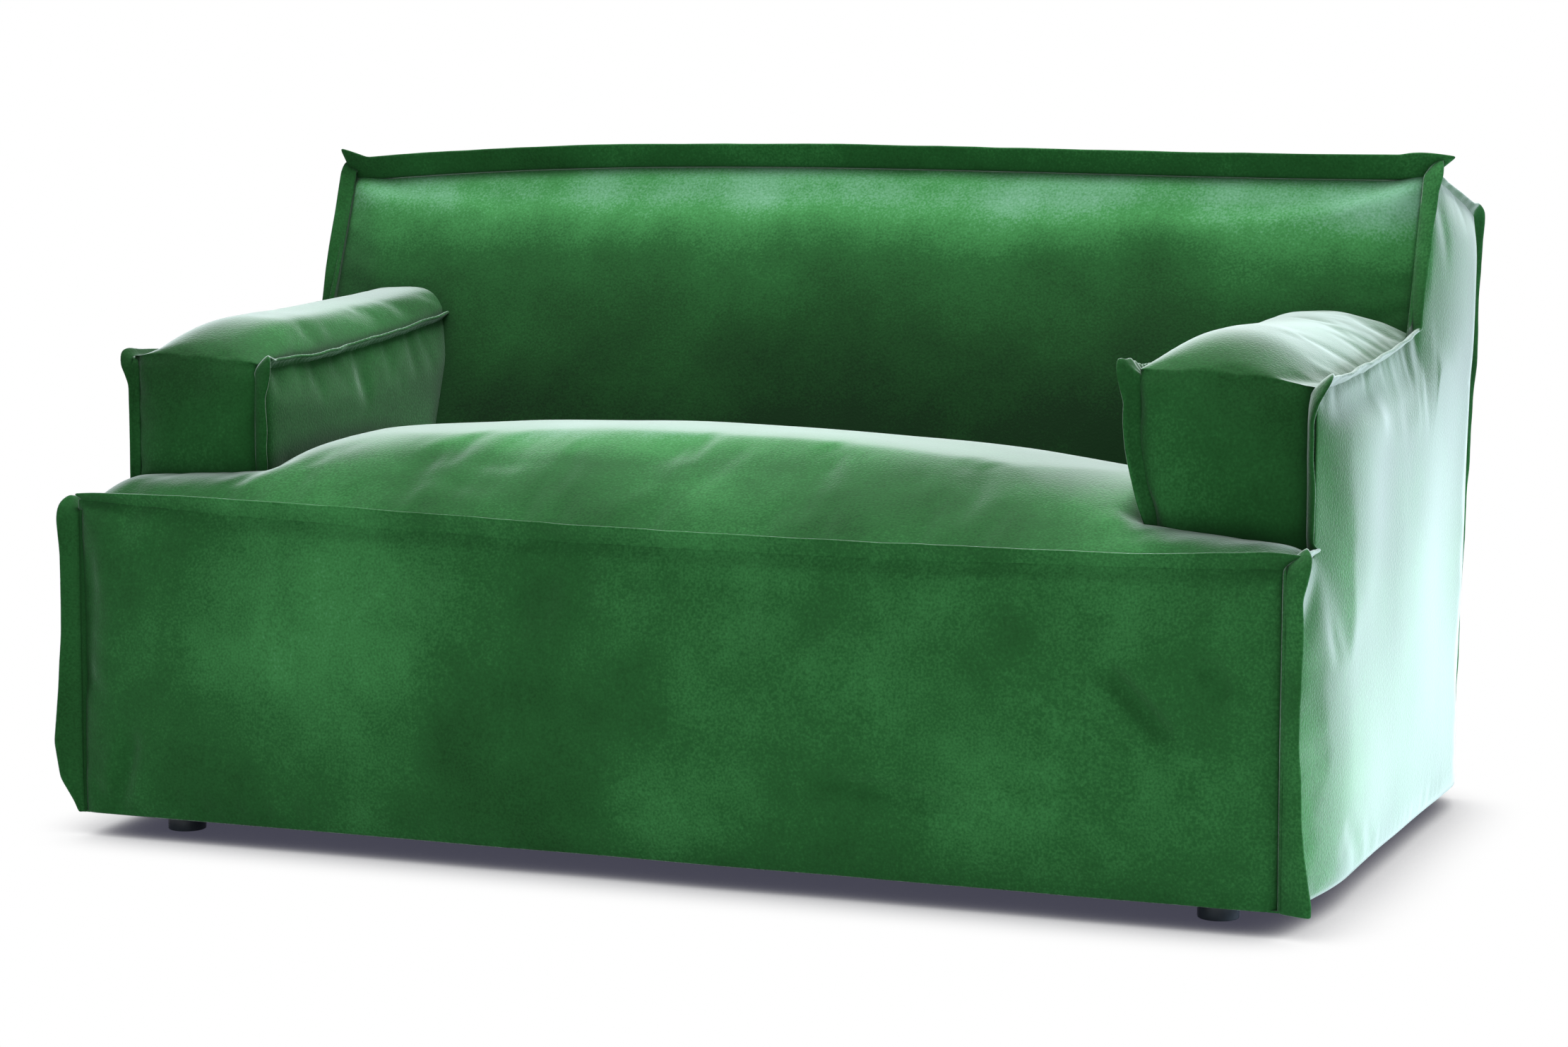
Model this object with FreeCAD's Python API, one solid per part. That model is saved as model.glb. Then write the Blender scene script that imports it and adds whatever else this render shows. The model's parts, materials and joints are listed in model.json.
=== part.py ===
import FreeCAD, Part
import math
import os

# A slip-covered loveseat: timber frame, springs, foam, a cover with stand-up seam lips and four screw-in feet.
# Millimetres. +Z is up, the front faces -Y and +X is on the right of someone who looks at the front.
# Depths are measured backwards from the front panel, heights from the floor.

# Cover: overall outline
BODY_WIDTH = 1550.0  # between the outer faces of the two side panels
BODY_DEPTH = 1018.0  # from the front panel to the top edge of the rear panel
REAR_TUCK = 80.0  # how far the rear hem lies in front of the rear top edge
HEM_Z = 30.0  # lower edge of the cover
SEAM_Z = 414.0  # seam between front panel and seat, at its two ends
SEAM_SAG = 16.0  # how much lower that seam runs half-way along
FRONT_CROWN = 10.0  # swell of the front panel
COVER_T = 3.0  # velvet with its lining
FIT = 0.3  # room round soft pieces

# Seat, measured above the seam's ends
SEAT_CROWN = 106.0  # top of the seat on the centre line
SEAT_SIDE_CROWN = 26.0  # the same at the two side panels
SEAT_BACK_RISE = 50.0  # where the seat meets the back, on the centre line
SEAT_BACK_SIDE_RISE = 22.0
SEAT_APEX_D = 330.0  # depth of the seat's highest line

# Arms
ARM_SETBACK = 125.0  # arm front behind the front panel
ARM_WIDTH = 204.0
ARM_FRONT_Z = 599.0  # arm top seam at the front
ARM_BACK_Z = 633.0  # arm top seam where it meets the back
ARM_CROWN = 45.0
ARM_CROWN_LEAST = 0.05  # share of the arm's crown that is left at its front edge

# Back
BACK_TOP_D = 709.0
BACK_TOP_Z = 840.0
BACK_RAKE = 19.3  # degrees from upright
BACK_CROWN = 16.0  # swell of the inside back
BACK_TOP_RISE = 14.0  # the top seam's middle above its ends
TOP_CROWN = 8.0
REAR_TOP_Z = 784.0
SWEEP_R = 70.0  # where the arm's outline sweeps up into the back
CROWN_LEAST = 0.1  # share of a panel's crown that is left at its two ends

# Seam lips
LIP_W = 26.0
LIP_T = 5.0
BACK_LIP_W = 22.0
ARM_LIP_W = 18.0

# Filling
FRONT_PAD_T = 28.0
SIDE_PAD_T = 25.0
ARM_PAD_T = 35.0  # over the arm boards, up to the seam
ARM_INNER_PAD_T = 25.0
BACK_FOAM_T = 110.0
TOP_PAD_T = 30.0
SEAT_FOAM_T = 85.0
WADDING_EDGE = 8.0  # seat wadding at the middle of the front seam

# Frame
BOARD_T = 18.0  # plywood
RAIL_T = 25.0  # solid timber
BACKING_T = 4.0
STRETCHER_W = 60.0
STRETCHER_H = 80.0
REAR_RAIL_H = 120.0
LOWER_RAIL_H = 80.0
TOP_RAIL_H = 70.0
POST_W = 60.0
ARM_FRONT_DROP = 60.0  # the arm front board reaches this far below the seat deck
BLOCK_W = 106.0  # corner block along the sofa
BLOCK_D = 70.0
BLOCK_H = 60.0

# Springs, felt and webbing
SPRING_COUNT = 9
SPRING_RUNS = 25
SPRING_W = 50.0
SPRING_PITCH = 120.0  # between neighbouring springs
WIRE_R = 2.0
CLIP_T = 1.2
CLIP_W = 18.0
CLIP_D = 14.0
FELT_T = 3.0
STRAP_COUNT = 7
STRAP_W = 60.0
STRAP_T = 2.0

# Underside
HEM_T = 2.0
HEM_W = 28.0  # width of the hem that is turned under
TAPE_T = 2.6
TAPE_W = 18.0
DUST_T = 0.8
DUST_ROOM = 4.0  # round each foot

# Feet and fasteners
FOOT_R = 24.0
FOOT_EDGE = 2.0  # rounding of the foot's rims
FOOT_TRAVEL = 10.0
STUD_R = 5.0
STUD_SINK = 20.0  # length of stud held in the foot
STUD_PLAY = 0.08  # running fit in the tee nut
STUD_SPARE = 3.0  # stud above the tee nut with the foot wound out
NUT_R = 6.5
NUT_H = 11.0
FLANGE_R = 11.0
FLANGE_T = 1.6
SCREW_R = 2.2
SCREW_HEAD_R = 4.5
SCREW_HEAD_H = 3.0
SCREW_GRIP = 35.0  # length of screw in the rail's end
SCREW_EDGE = 22.0  # from a screw to the end of the board that it holds

# Worked out from the sizes above
half_width = BODY_WIDTH / 2
front_y = (FRONT_CROWN - BODY_DEPTH) / 2
cover_in = half_width - COVER_T
soft_x = cover_in - FIT
frame_out = soft_x - SIDE_PAD_T - FIT
frame_in = frame_out - BOARD_T
arm_in = half_width - ARM_WIDTH
board_x = arm_in + COVER_T + FIT + ARM_INNER_PAD_T + FIT
lip_x = half_width + LIP_W
dust_z = HEM_Z + HEM_T + FIT + TAPE_T + FIT
frame_z = dust_z + DUST_T
foam_top = SEAM_Z - SEAM_SAG - COVER_T - FIT - WADDING_EDGE
deck_z = foam_top - SEAT_FOAM_T
felt_z = deck_z - FIT - FELT_T
wire_z = felt_z - FIT - WIRE_R
rail_top = wire_z - WIRE_R - CLIP_T
rake_slope = math.tan(math.radians(BACK_RAKE))
pad_front = COVER_T + FIT
pad_back = pad_front + FRONT_PAD_T
arm_pad_front = ARM_SETBACK + COVER_T + FIT
arm_pad_back = arm_pad_front + FRONT_PAD_T
BACKWARD = (1.0, 0.0)
DOWNWARD = (0.0, -1.0)
ACROSS_SHARES = (-1.0, -0.72, -0.4, 0.0, 0.4, 0.72, 1.0)
ALONG_SHARES = (0.0, 0.1, 0.25, 0.5, 0.75, 1.0)


def back_d(z):
    """Depth of the flat plane that the inside back's edges lie in."""
    return BACK_TOP_D - (BACK_TOP_Z - z) * rake_slope


arm_back_d = back_d(ARM_BACK_Z)
PROFILE = [
    (0.0, HEM_Z),
    (0.0, SEAM_Z),
    (ARM_SETBACK, SEAM_Z),
    (ARM_SETBACK, ARM_FRONT_Z),
    (arm_back_d, ARM_BACK_Z),
    (BACK_TOP_D, BACK_TOP_Z),
    (BODY_DEPTH, REAR_TOP_Z),
    (BODY_DEPTH - REAR_TUCK, HEM_Z),
]
# The profile's edges, in the order of its corners
FRONT, STEP, ARM_FRONT, ARM_TOP, BACK, TOP, REAR, HEM = range(8)
INNER_CORNER = BACK  # the corner where the arm meets the back starts the back edge


def point(x, d, z):
    return FreeCAD.Vector(x, front_y + d, z)


def edge_line(edge, inwards):
    """The line of one profile edge, moved into the sofa: a point and a direction."""
    (d0, z0), (d1, z1) = PROFILE[edge], PROFILE[(edge + 1) % len(PROFILE)]
    length = math.hypot(d1 - d0, z1 - z0)
    start = (d0 + inwards * (z1 - z0) / length, z0 - inwards * (d1 - d0) / length)
    return start, (d1 - d0, z1 - z0)


def level(z):
    return (0.0, z), (1.0, 0.0)


def upright(d):
    return (d, 0.0), (0.0, 1.0)


def meet(first, second):
    """The point where two lines cross."""
    (a, b), (u, v) = first
    (c, e), (s, t) = second
    along = ((c - a) * t - (e - b) * s) / (u * t - v * s)
    return a + along * u, b + along * v


def inset(distances):
    """The side profile with each edge moved inwards by its own distance."""
    lines = [edge_line(edge, distances[edge]) for edge in range(len(PROFILE))]
    return [meet(lines[i - 1], lines[i]) for i in range(len(lines))]


def chain_of(runs, place):
    """A closed wire from runs of two points, or of three on an arc."""
    edges = []
    for run in runs:
        points = [place(p) for p in run]
        if len(points) == 3:
            edges.append(Part.Arc(*points).toShape())
        else:
            edges.append(Part.LineSegment(*points).toShape())
    return Part.Wire(edges)


def runs_of(corners):
    return [(corners[i - 1], corners[i]) for i in range(len(corners))]


def plate(corners, x0, x1):
    """A flat piece with its outline in depth and height, from x0 to x1."""
    wire = chain_of(runs_of(corners), lambda p: point(x0, *p))
    return Part.Face(wire).extrude(FreeCAD.Vector(x1 - x0, 0, 0))


def swept_plate(corners, radius, x0, x1):
    """The same, with the corner between arm and back rounded."""
    before, corner, after = (FreeCAD.Vector(*corners[INNER_CORNER + i], 0) for i in (-1, 0, 1))
    to_arm, to_back = (before - corner).normalize(), (after - corner).normalize()
    half = to_arm.getAngle(to_back) / 2
    start, end = (corner + way * (radius / math.tan(half)) for way in (to_arm, to_back))
    middle = corner + (to_arm + to_back).normalize() * (radius / math.sin(half) - radius)
    ring = corners[INNER_CORNER + 1:] + corners[:INNER_CORNER]
    runs = [(start[:2], middle[:2], end[:2]), (end[:2], ring[0])]
    runs += [(ring[i], ring[i + 1]) for i in range(len(ring) - 1)] + [(ring[-1], start[:2])]
    wire = chain_of(runs, lambda p: point(x0, *p))
    return Part.Face(wire).extrude(FreeCAD.Vector(x1 - x0, 0, 0))


def block(x0, x1, d0, d1, z0, z1):
    return Part.makeBox(x1 - x0, d1 - d0, z1 - z0, point(x0, d0, z0))


def mirrored(shape):
    return shape.mirror(FreeCAD.Vector(0, 0, 0), FreeCAD.Vector(1, 0, 0))


def moved(arc, way, distance):
    return [(d + way[0] * distance, z + way[1] * distance) for d, z in arc]


def band(arc, near, far, way):
    """The closed outline between an arc moved by near and the same arc moved by far."""
    a, b = moved(arc, way, near), moved(arc, way, far)
    return [tuple(a), (a[2], b[2]), tuple(reversed(b)), (b[0], a[0])]


def across(section, reach):
    """A loft from side to side through section(x), an outline in depth and height."""
    places = [share * reach for share in ACROSS_SHARES]
    return Part.makeLoft([chain_of(section(x), lambda p, x=x: point(x, *p)) for x in places], True)


def crown_at(x):
    """1 on the centre line, 0 at the side panels."""
    return 1 - (x / half_width) ** 2


def swell_at(x):
    return CROWN_LEAST + (1 - CROWN_LEAST) * crown_at(x)


def seam_z(x):
    return SEAM_Z - SEAM_SAG * crown_at(x)


def front_arc(x):
    top = seam_z(x)
    return [(0.0, HEM_Z), (-FRONT_CROWN * swell_at(x), (HEM_Z + top) / 2), (0.0, top)]


def seat_arc(x):
    crown = crown_at(x)
    apex = SEAT_SIDE_CROWN + (SEAT_CROWN - SEAT_SIDE_CROWN) * crown
    back = SEAT_BACK_SIDE_RISE + (SEAT_BACK_RISE - SEAT_BACK_SIDE_RISE) * crown
    return [(LIP_T + FIT, seam_z(x)), (SEAT_APEX_D, SEAM_Z + apex), (arm_back_d, SEAM_Z + back)]


def back_top_z(x):
    return BACK_TOP_Z + BACK_TOP_RISE * crown_at(x)


def back_arc(x):
    top = back_top_z(x)
    middle = (deck_z + top) / 2
    return [(back_d(deck_z), deck_z), (back_d(middle) - BACK_CROWN * swell_at(x), middle), (back_d(top), top)]


def top_arc(x):
    z0 = back_top_z(x)
    d0, d1 = back_d(z0) + COVER_T + FIT, BODY_DEPTH - COVER_T - 2 * FIT
    middle = (z0 + REAR_TOP_Z) / 2 + TOP_CROWN * swell_at(x)
    return [(d0, z0), ((d0 + d1) / 2, middle), (d1, REAR_TOP_Z)]


# The plane that the back's rails and straps lie on, and the frame's outline in the side view
web_line = edge_line(BACK, BACK_FOAM_T)
arm_end = edge_line(BACK, BACK_FOAM_T - FIT)
rear_line = edge_line(REAR, COVER_T + FIT + BACKING_T)
top_line = edge_line(TOP, COVER_T + FIT + TOP_PAD_T + FIT)
arm_line = edge_line(ARM_TOP, ARM_PAD_T + FIT)
FRAME_OUTLINE = inset([
    pad_back + FIT,
    SEAM_Z - deck_z + FIT,
    COVER_T + FIT + FRONT_PAD_T + FIT,
    ARM_PAD_T + FIT,
    BACK_FOAM_T,
    COVER_T + FIT + TOP_PAD_T + FIT,
    COVER_T + FIT + BACKING_T,
    frame_z - HEM_Z,
])
rail_front = pad_back + FIT
rail_back = rail_front + RAIL_T
seat_rail_d = meet(web_line, level(rail_top))[0]


def rear_d(z):
    return meet(rear_line, level(z))[0]


def arm_arc(d, grow):
    """The arm's top from its outer to its inner seam, as width and height."""
    share = (d - ARM_SETBACK) / (arm_far_d - ARM_SETBACK)
    swell = ARM_CROWN_LEAST + (1 - ARM_CROWN_LEAST) * (1 - (2 * share - 1) ** 4)
    seam = meet(edge_line(ARM_TOP, 0.0), upright(d))[1] + grow
    outer, inner = cover_in + grow, arm_in - grow
    return [(outer, seam), ((outer + inner) / 2, seam + ARM_CROWN * swell), (inner, seam)]


# Behind the straps, so that every arm piece can be trimmed there
arm_far_d = meet(web_line, edge_line(ARM_TOP, -ARM_CROWN))[0] + RAIL_T


def along_arm(near, far, grow=0.0):
    """A loft along the arm, between its top arc lowered by near and lowered by far."""
    wires = []
    for share in ALONG_SHARES:
        d = ARM_SETBACK + share * (arm_far_d - ARM_SETBACK)
        runs = band(arm_arc(d, grow), near, far, DOWNWARD)
        wires.append(chain_of(runs, lambda p, d=d: point(p[0], d, p[1])))
    return Part.makeLoft(wires, True)


def behind(line):
    """Everything behind a line of the side view, as wide as one arm and more."""
    low, high = meet(line, level(0.0)), meet(line, level(2 * BACK_TOP_Z))
    far = 2 * BODY_DEPTH
    return plate([low, high, (far, high[1]), (far, 0.0)], 0.0, lip_x)


def arm_room():
    """The space of both arms with room round them, which the back's soft pieces leave free."""
    right = along_arm(0.0, ARM_BACK_Z, FIT)
    return right.fuse(mirrored(right))


def back_room():
    """The back with room in front of it, which the seat leaves free."""
    return across(lambda x: band(back_arc(x), -FIT, BODY_DEPTH, BACKWARD), half_width)


def seat_outline(side_x, front, z0, z1):
    """The T shape of the seat in plan: its front runs in front of both arms."""
    wide = block(-side_x, side_x, front, ARM_SETBACK - FIT, z0, z1)
    stem = block(FIT - arm_in, arm_in - FIT, front, BODY_DEPTH, z0, z1)
    return wide.fuse(stem).removeSplitter()


def only_solid(shape):
    """The single solid of a boolean's result."""
    return shape.Solids[0] if len(shape.Solids) == 1 else shape


nodes = {}


def add(name, shape):
    nodes[name] = only_solid(shape)


def add_pair(name, right):
    add(name + "_right", right)
    add(name + "_left", mirrored(only_solid(right)))


def add_group(name, solids):
    nodes[name] = Part.makeCompound(solids)


def cover_panels():
    add("front_panel", across(lambda x: band(front_arc(x), 0.0, COVER_T, BACKWARD), cover_in))
    seat = across(lambda x: band(seat_arc(x), 0.0, COVER_T, DOWNWARD), cover_in)
    seat = seat.common(seat_outline(cover_in, 0.0, HEM_Z, BACK_TOP_Z)).cut(back_room())
    add("seat_panel", seat)
    inside = across(lambda x: band(back_arc(x), 0.0, COVER_T, BACKWARD), cover_in)
    add("inside_back_panel", inside.cut(arm_room()))
    add("back_top_panel", across(lambda x: band(top_arc(x), 0.0, COVER_T, DOWNWARD), cover_in))
    outer = [PROFILE[REAR], PROFILE[HEM]]
    add("rear_panel", plate(outer + [(d - COVER_T, z) for d, z in reversed(outer)], -cover_in, cover_in))
    add_pair("side_panel", swept_plate(PROFILE, SWEEP_R, cover_in, half_width))


def arm_covers():
    beyond = behind(arm_end)
    add_pair("arm_top_panel", along_arm(0.0, COVER_T).cut(beyond))
    under_top = edge_line(ARM_TOP, COVER_T + FIT)
    front_top = meet(under_top, upright(ARM_SETBACK))[1]
    add_pair("arm_front_panel", block(arm_in, cover_in, ARM_SETBACK, ARM_SETBACK + COVER_T, deck_z, front_top))
    start = upright(arm_pad_front)
    corners = [
        meet(start, level(deck_z)),
        meet(start, under_top),
        meet(under_top, arm_end),
        meet(arm_end, level(deck_z)),
    ]
    add_pair("arm_inside_panel", plate(corners, arm_in, arm_in + COVER_T))


def seam_lips():
    hem_open = [LIP_T] * len(PROFILE)
    hem_open[HEM] = -LIP_T
    ring = swept_plate(PROFILE, SWEEP_R, half_width, lip_x)
    hole = swept_plate(inset(hem_open), SWEEP_R + LIP_T, half_width - LIP_T, lip_x + LIP_T)
    add_pair("side_lip", ring.cut(hole))

    low = [(x, seam_z(x) + FIT) for x in (-lip_x, 0.0, lip_x)]
    face = Part.Face(chain_of(band(low, 0.0, -LIP_W, DOWNWARD), lambda p: point(p[0], 0.0, p[1])))
    add("front_lip", face.extrude(FreeCAD.Vector(0, LIP_T, 0)))

    ends_z, middle_z = BACK_TOP_Z + FIT, back_top_z(0.0) + FIT
    low = [(-lip_x, ends_z), (0.0, middle_z), (lip_x, ends_z)]
    rise = BACK_LIP_W * math.cos(math.radians(BACK_RAKE))
    face = Part.Face(chain_of(band(low, 0.0, -rise, DOWNWARD), lambda p: point(p[0], back_d(p[1]), p[1])))
    add("back_lip", face.extrude(FreeCAD.Vector(0, LIP_T, 0)))

    top, front = edge_line(ARM_TOP, 0.0), upright(ARM_SETBACK)
    lower, inner = edge_line(ARM_TOP, LIP_T), upright(ARM_SETBACK + LIP_T)
    rear = upright(arm_far_d)
    corners = [
        meet(front, level(deck_z)),
        meet(front, top),
        meet(top, rear),
        meet(lower, rear),
        meet(lower, inner),
        meet(inner, level(deck_z)),
    ]
    strip = plate(corners, arm_in - ARM_LIP_W, arm_in)
    seat = across(lambda x: band(seat_arc(x), -FIT, SEAT_FOAM_T, DOWNWARD), half_width)
    strip = strip.cut(seat).cut(back_room())
    add_pair("arm_lip", max(strip.Solids, key=lambda solid: solid.Volume))


def back_foam_section(x):
    """The back foam with the flap that it throws over the top of the frame."""
    front = moved(back_arc(x), BACKWARD, pad_front)
    roof = moved(top_arc(x), DOWNWARD, pad_front)
    under_flap = edge_line(TOP, COVER_T + FIT + TOP_PAD_T)
    on_straps = edge_line(BACK, BACK_FOAM_T - STRAP_T - FIT)
    inside_rear = edge_line(REAR, COVER_T + 2 * FIT)
    flap_end = meet(inside_rear, under_flap)
    elbow = meet(under_flap, on_straps)
    foot = meet(on_straps, level(deck_z))
    front[2] = roof[0]
    roof[2] = meet(inside_rear, level(roof[2][1]))
    return [tuple(front), tuple(roof), (roof[2], flap_end), (flap_end, elbow), (elbow, foot), (foot, front[0])]


def filling():
    front = across(lambda x: band(front_arc(x), pad_front, FRONT_CROWN + pad_back, BACKWARD), cover_in)
    add("front_pad", front.common(block(-soft_x, soft_x, -FRONT_CROWN, pad_back, frame_z, deck_z - FIT)))
    back = back_room()
    front_edge = LIP_T + FIT
    add("seat_foam", seat_outline(soft_x, front_edge, deck_z, foam_top).cut(back))
    crown = across(lambda x: band(seat_arc(x), COVER_T + FIT, SEAM_Z, DOWNWARD), cover_in)
    crown = crown.common(seat_outline(soft_x, front_edge, foam_top + FIT, BACK_TOP_Z)).cut(back)
    add("seat_wadding", crown)
    add("back_foam", across(back_foam_section, soft_x).cut(arm_room()))
    add_pair("side_pad", plate(FRAME_OUTLINE, frame_out + FIT, soft_x))

    pad = along_arm(COVER_T + FIT, ARM_BACK_Z)
    pad = pad.common(block(arm_in + COVER_T + FIT, soft_x, arm_pad_front, BODY_DEPTH, deck_z, BACK_TOP_Z))
    core_top = edge_line(ARM_TOP, ARM_PAD_T)
    core = [
        (arm_pad_back, 0.0),
        meet(upright(arm_pad_back), core_top),
        meet(core_top, upright(BODY_DEPTH)),
        (BODY_DEPTH, 0.0),
    ]
    pad = pad.cut(plate(core, board_x - FIT, half_width)).cut(behind(arm_end))
    add_pair("arm_pad", pad)


def on_line(line, low_z, high_z, thickness, x0, x1):
    """A board that lies behind a leaning line of the side view."""
    (d0, z0), (d1, z1) = meet(line, level(low_z)), meet(line, level(high_z))
    return plate([(d0, z0), (d1, z1), (d1 + thickness, z1), (d0 + thickness, z0)], x0, x1)


def arm_boards():
    board_front = arm_pad_back + FIT
    board_under = edge_line(ARM_TOP, ARM_PAD_T + FIT + BOARD_T)
    inner = [
        (rail_back, frame_z + STRETCHER_H),
        (rail_back, deck_z - FIT),
        (board_front, deck_z - FIT),
        meet(upright(board_front), board_under),
        meet(board_under, arm_end),
        meet(arm_end, level(rail_top)),
        (seat_rail_d, rail_top),
        (seat_rail_d, frame_z + STRETCHER_H),
    ]
    add_pair("arm_inner_board", plate(inner, board_x, board_x + BOARD_T))
    top = [
        meet(upright(board_front), board_under),
        meet(upright(board_front), arm_line),
        meet(arm_line, arm_end),
        meet(board_under, arm_end),
    ]
    add_pair("arm_top_board", plate(top, board_x, frame_in))
    low = deck_z - ARM_FRONT_DROP
    front = [
        (board_front, low),
        meet(upright(board_front), board_under),
        meet(upright(board_front + BOARD_T), board_under),
        (board_front + BOARD_T, low),
    ]
    add_pair("arm_front_board", plate(front, board_x + BOARD_T, frame_in))


def foot_places():
    """Name, width and depth of each foot's axis."""
    x = frame_in - BLOCK_W / 2
    rear = rear_d(frame_z) - RAIL_T - BLOCK_D / 2
    spots = {"front": rail_back + BLOCK_D / 2, "rear": rear}
    return [(f"{end}_{side}", sign * x, d) for end, d in spots.items() for side, sign in (("right", 1), ("left", -1))]


def screw(x, d, z, side):
    """A countersunk screw through a side frame into a rail's end."""
    inwards = FreeCAD.Vector(-side, 0, 0)
    head = Part.makeCone(SCREW_HEAD_R, SCREW_R, SCREW_HEAD_H, point(side * x, d, z), inwards)
    start = point(side * (x - SCREW_HEAD_H), d, z)
    return head.fuse(Part.makeCylinder(SCREW_R, BOARD_T + SCREW_GRIP - SCREW_HEAD_H, start, inwards)).Solids[0]


def frame():
    low_rail_z = (deck_z, deck_z + LOWER_RAIL_H)
    board_under_top = edge_line(TOP, COVER_T + FIT + TOP_PAD_T + FIT + BOARD_T)
    top_corner = meet(web_line, board_under_top)
    behind_top = meet(upright(top_corner[0] + RAIL_T), board_under_top)
    top_low = meet(web_line, level(top_corner[1] - TOP_RAIL_H))
    rail_x = (-frame_in, frame_in)
    pieces = {
        "front_rail": block(*rail_x, rail_front, rail_back, frame_z, rail_top),
        "seat_rear_rail": block(*rail_x, seat_rail_d, seat_rail_d + RAIL_T, frame_z + STRETCHER_H, rail_top),
        "rear_rail": on_line(rear_line, frame_z, frame_z + REAR_RAIL_H, -RAIL_T, *rail_x),
        "back_lower_rail": on_line(web_line, *low_rail_z, RAIL_T, *rail_x),
        "back_top_rail": plate(
            [top_low, top_corner, behind_top, (top_low[0] + RAIL_T, top_low[1])], *rail_x
        ),
        "back_top_board": plate(
            [
                top_corner,
                meet(web_line, top_line),
                meet(top_line, rear_line),
                meet(board_under_top, rear_line),
            ],
            *rail_x,
        ),
    }
    middle = RAIL_T / 2
    top_middle = meet(web_line, level((top_low[1] + top_corner[1]) / 2))
    spots = [(rail_front + middle, z) for z in (frame_z + BLOCK_H + SCREW_EDGE, rail_top - SCREW_EDGE)]
    spots += [(seat_rail_d + middle, z) for z in (frame_z + STRETCHER_H + SCREW_EDGE, rail_top - SCREW_EDGE)]
    for z in (frame_z + SCREW_EDGE, frame_z + REAR_RAIL_H - SCREW_EDGE):
        spots.append((rear_d(z) - middle, z))
    for z in (low_rail_z[0] + SCREW_EDGE, low_rail_z[1] - SCREW_EDGE):
        spots.append((meet(web_line, level(z))[0] + middle, z))
    spots.append((top_middle[0] + middle, top_middle[1]))
    screws = [screw(frame_out, d, z, side) for side in (1, -1) for d, z in spots]
    holes = Part.makeCompound(screws)
    for name, piece in pieces.items():
        add(name, piece.cut(holes))
    add("side_frame_right", plate(FRAME_OUTLINE, frame_in, frame_out).cut(holes))
    add("side_frame_left", mirrored(plate(FRAME_OUTLINE, frame_in, frame_out)).cut(holes))
    add_group("frame_screws", screws)

    stretcher_top = frame_z + STRETCHER_H
    half = STRETCHER_W / 2
    ends = [rear_d(z) - RAIL_T for z in (frame_z, stretcher_top)]
    corners = [(rail_back, frame_z), (rail_back, stretcher_top), (ends[1], stretcher_top), (ends[0], frame_z)]
    add("centre_stretcher", plate(corners, -half, half))
    post = on_line(web_line, low_rail_z[1], top_low[1], RAIL_T, -POST_W / 2, POST_W / 2)
    add("back_centre_post", post)
    backing = edge_line(REAR, COVER_T + FIT)
    corners = [meet(line, end) for line, end in (
        (backing, level(frame_z)),
        (rear_line, level(frame_z)),
        (rear_line, top_line),
        (backing, top_line),
    )]
    add("backing_board", plate(corners, -soft_x, soft_x))


def corner_blocks_and_nuts():
    blocks, nuts = [], []
    for name, x, d in foot_places():
        side = math.copysign(1.0, x)
        inner, outer = sorted((side * frame_in, side * (frame_in - BLOCK_W)))
        low, high = frame_z, frame_z + BLOCK_H
        if name.startswith("front"):
            solid = block(inner, outer, rail_back, rail_back + BLOCK_D, low, high)
        else:
            start = rear_d(low) - RAIL_T - BLOCK_D
            ends = [rear_d(z) - RAIL_T for z in (low, high)]
            solid = plate([(start, low), (start, high), (ends[1], high), (ends[0], low)], inner, outer)
        bore = Part.makeCylinder(NUT_R, BLOCK_H, point(x, d, low))
        blocks.append(only_solid(solid.cut(bore)))
        barrel = Part.makeCylinder(NUT_R, NUT_H, point(x, d, high - NUT_H))
        flange = Part.makeCylinder(FLANGE_R, FLANGE_T, point(x, d, high))
        thread = Part.makeCylinder(STUD_R + STUD_PLAY, NUT_H + FLANGE_T, point(x, d, high - NUT_H))
        nuts.append(only_solid(barrel.fuse(flange).cut(thread).removeSplitter()))
    add_group("corner_blocks", blocks)
    add_group("tee_nuts", nuts)


def feet():
    top = frame_z - FIT
    stud_top = frame_z + BLOCK_H + FLANGE_T + FOOT_TRAVEL + STUD_SPARE
    for name, x, d in foot_places():
        cup = Part.makeCylinder(FOOT_R, top, point(x, d, 0.0))
        rims = [edge for edge in cup.Edges if isinstance(edge.Curve, Part.Circle)]
        cup = cup.makeFillet(FOOT_EDGE, rims)
        stud = Part.makeCylinder(STUD_R, stud_top - top + STUD_SINK, point(x, d, top - STUD_SINK))
        add_group("foot_" + name, [only_solid(cup.cut(stud)), stud])


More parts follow.
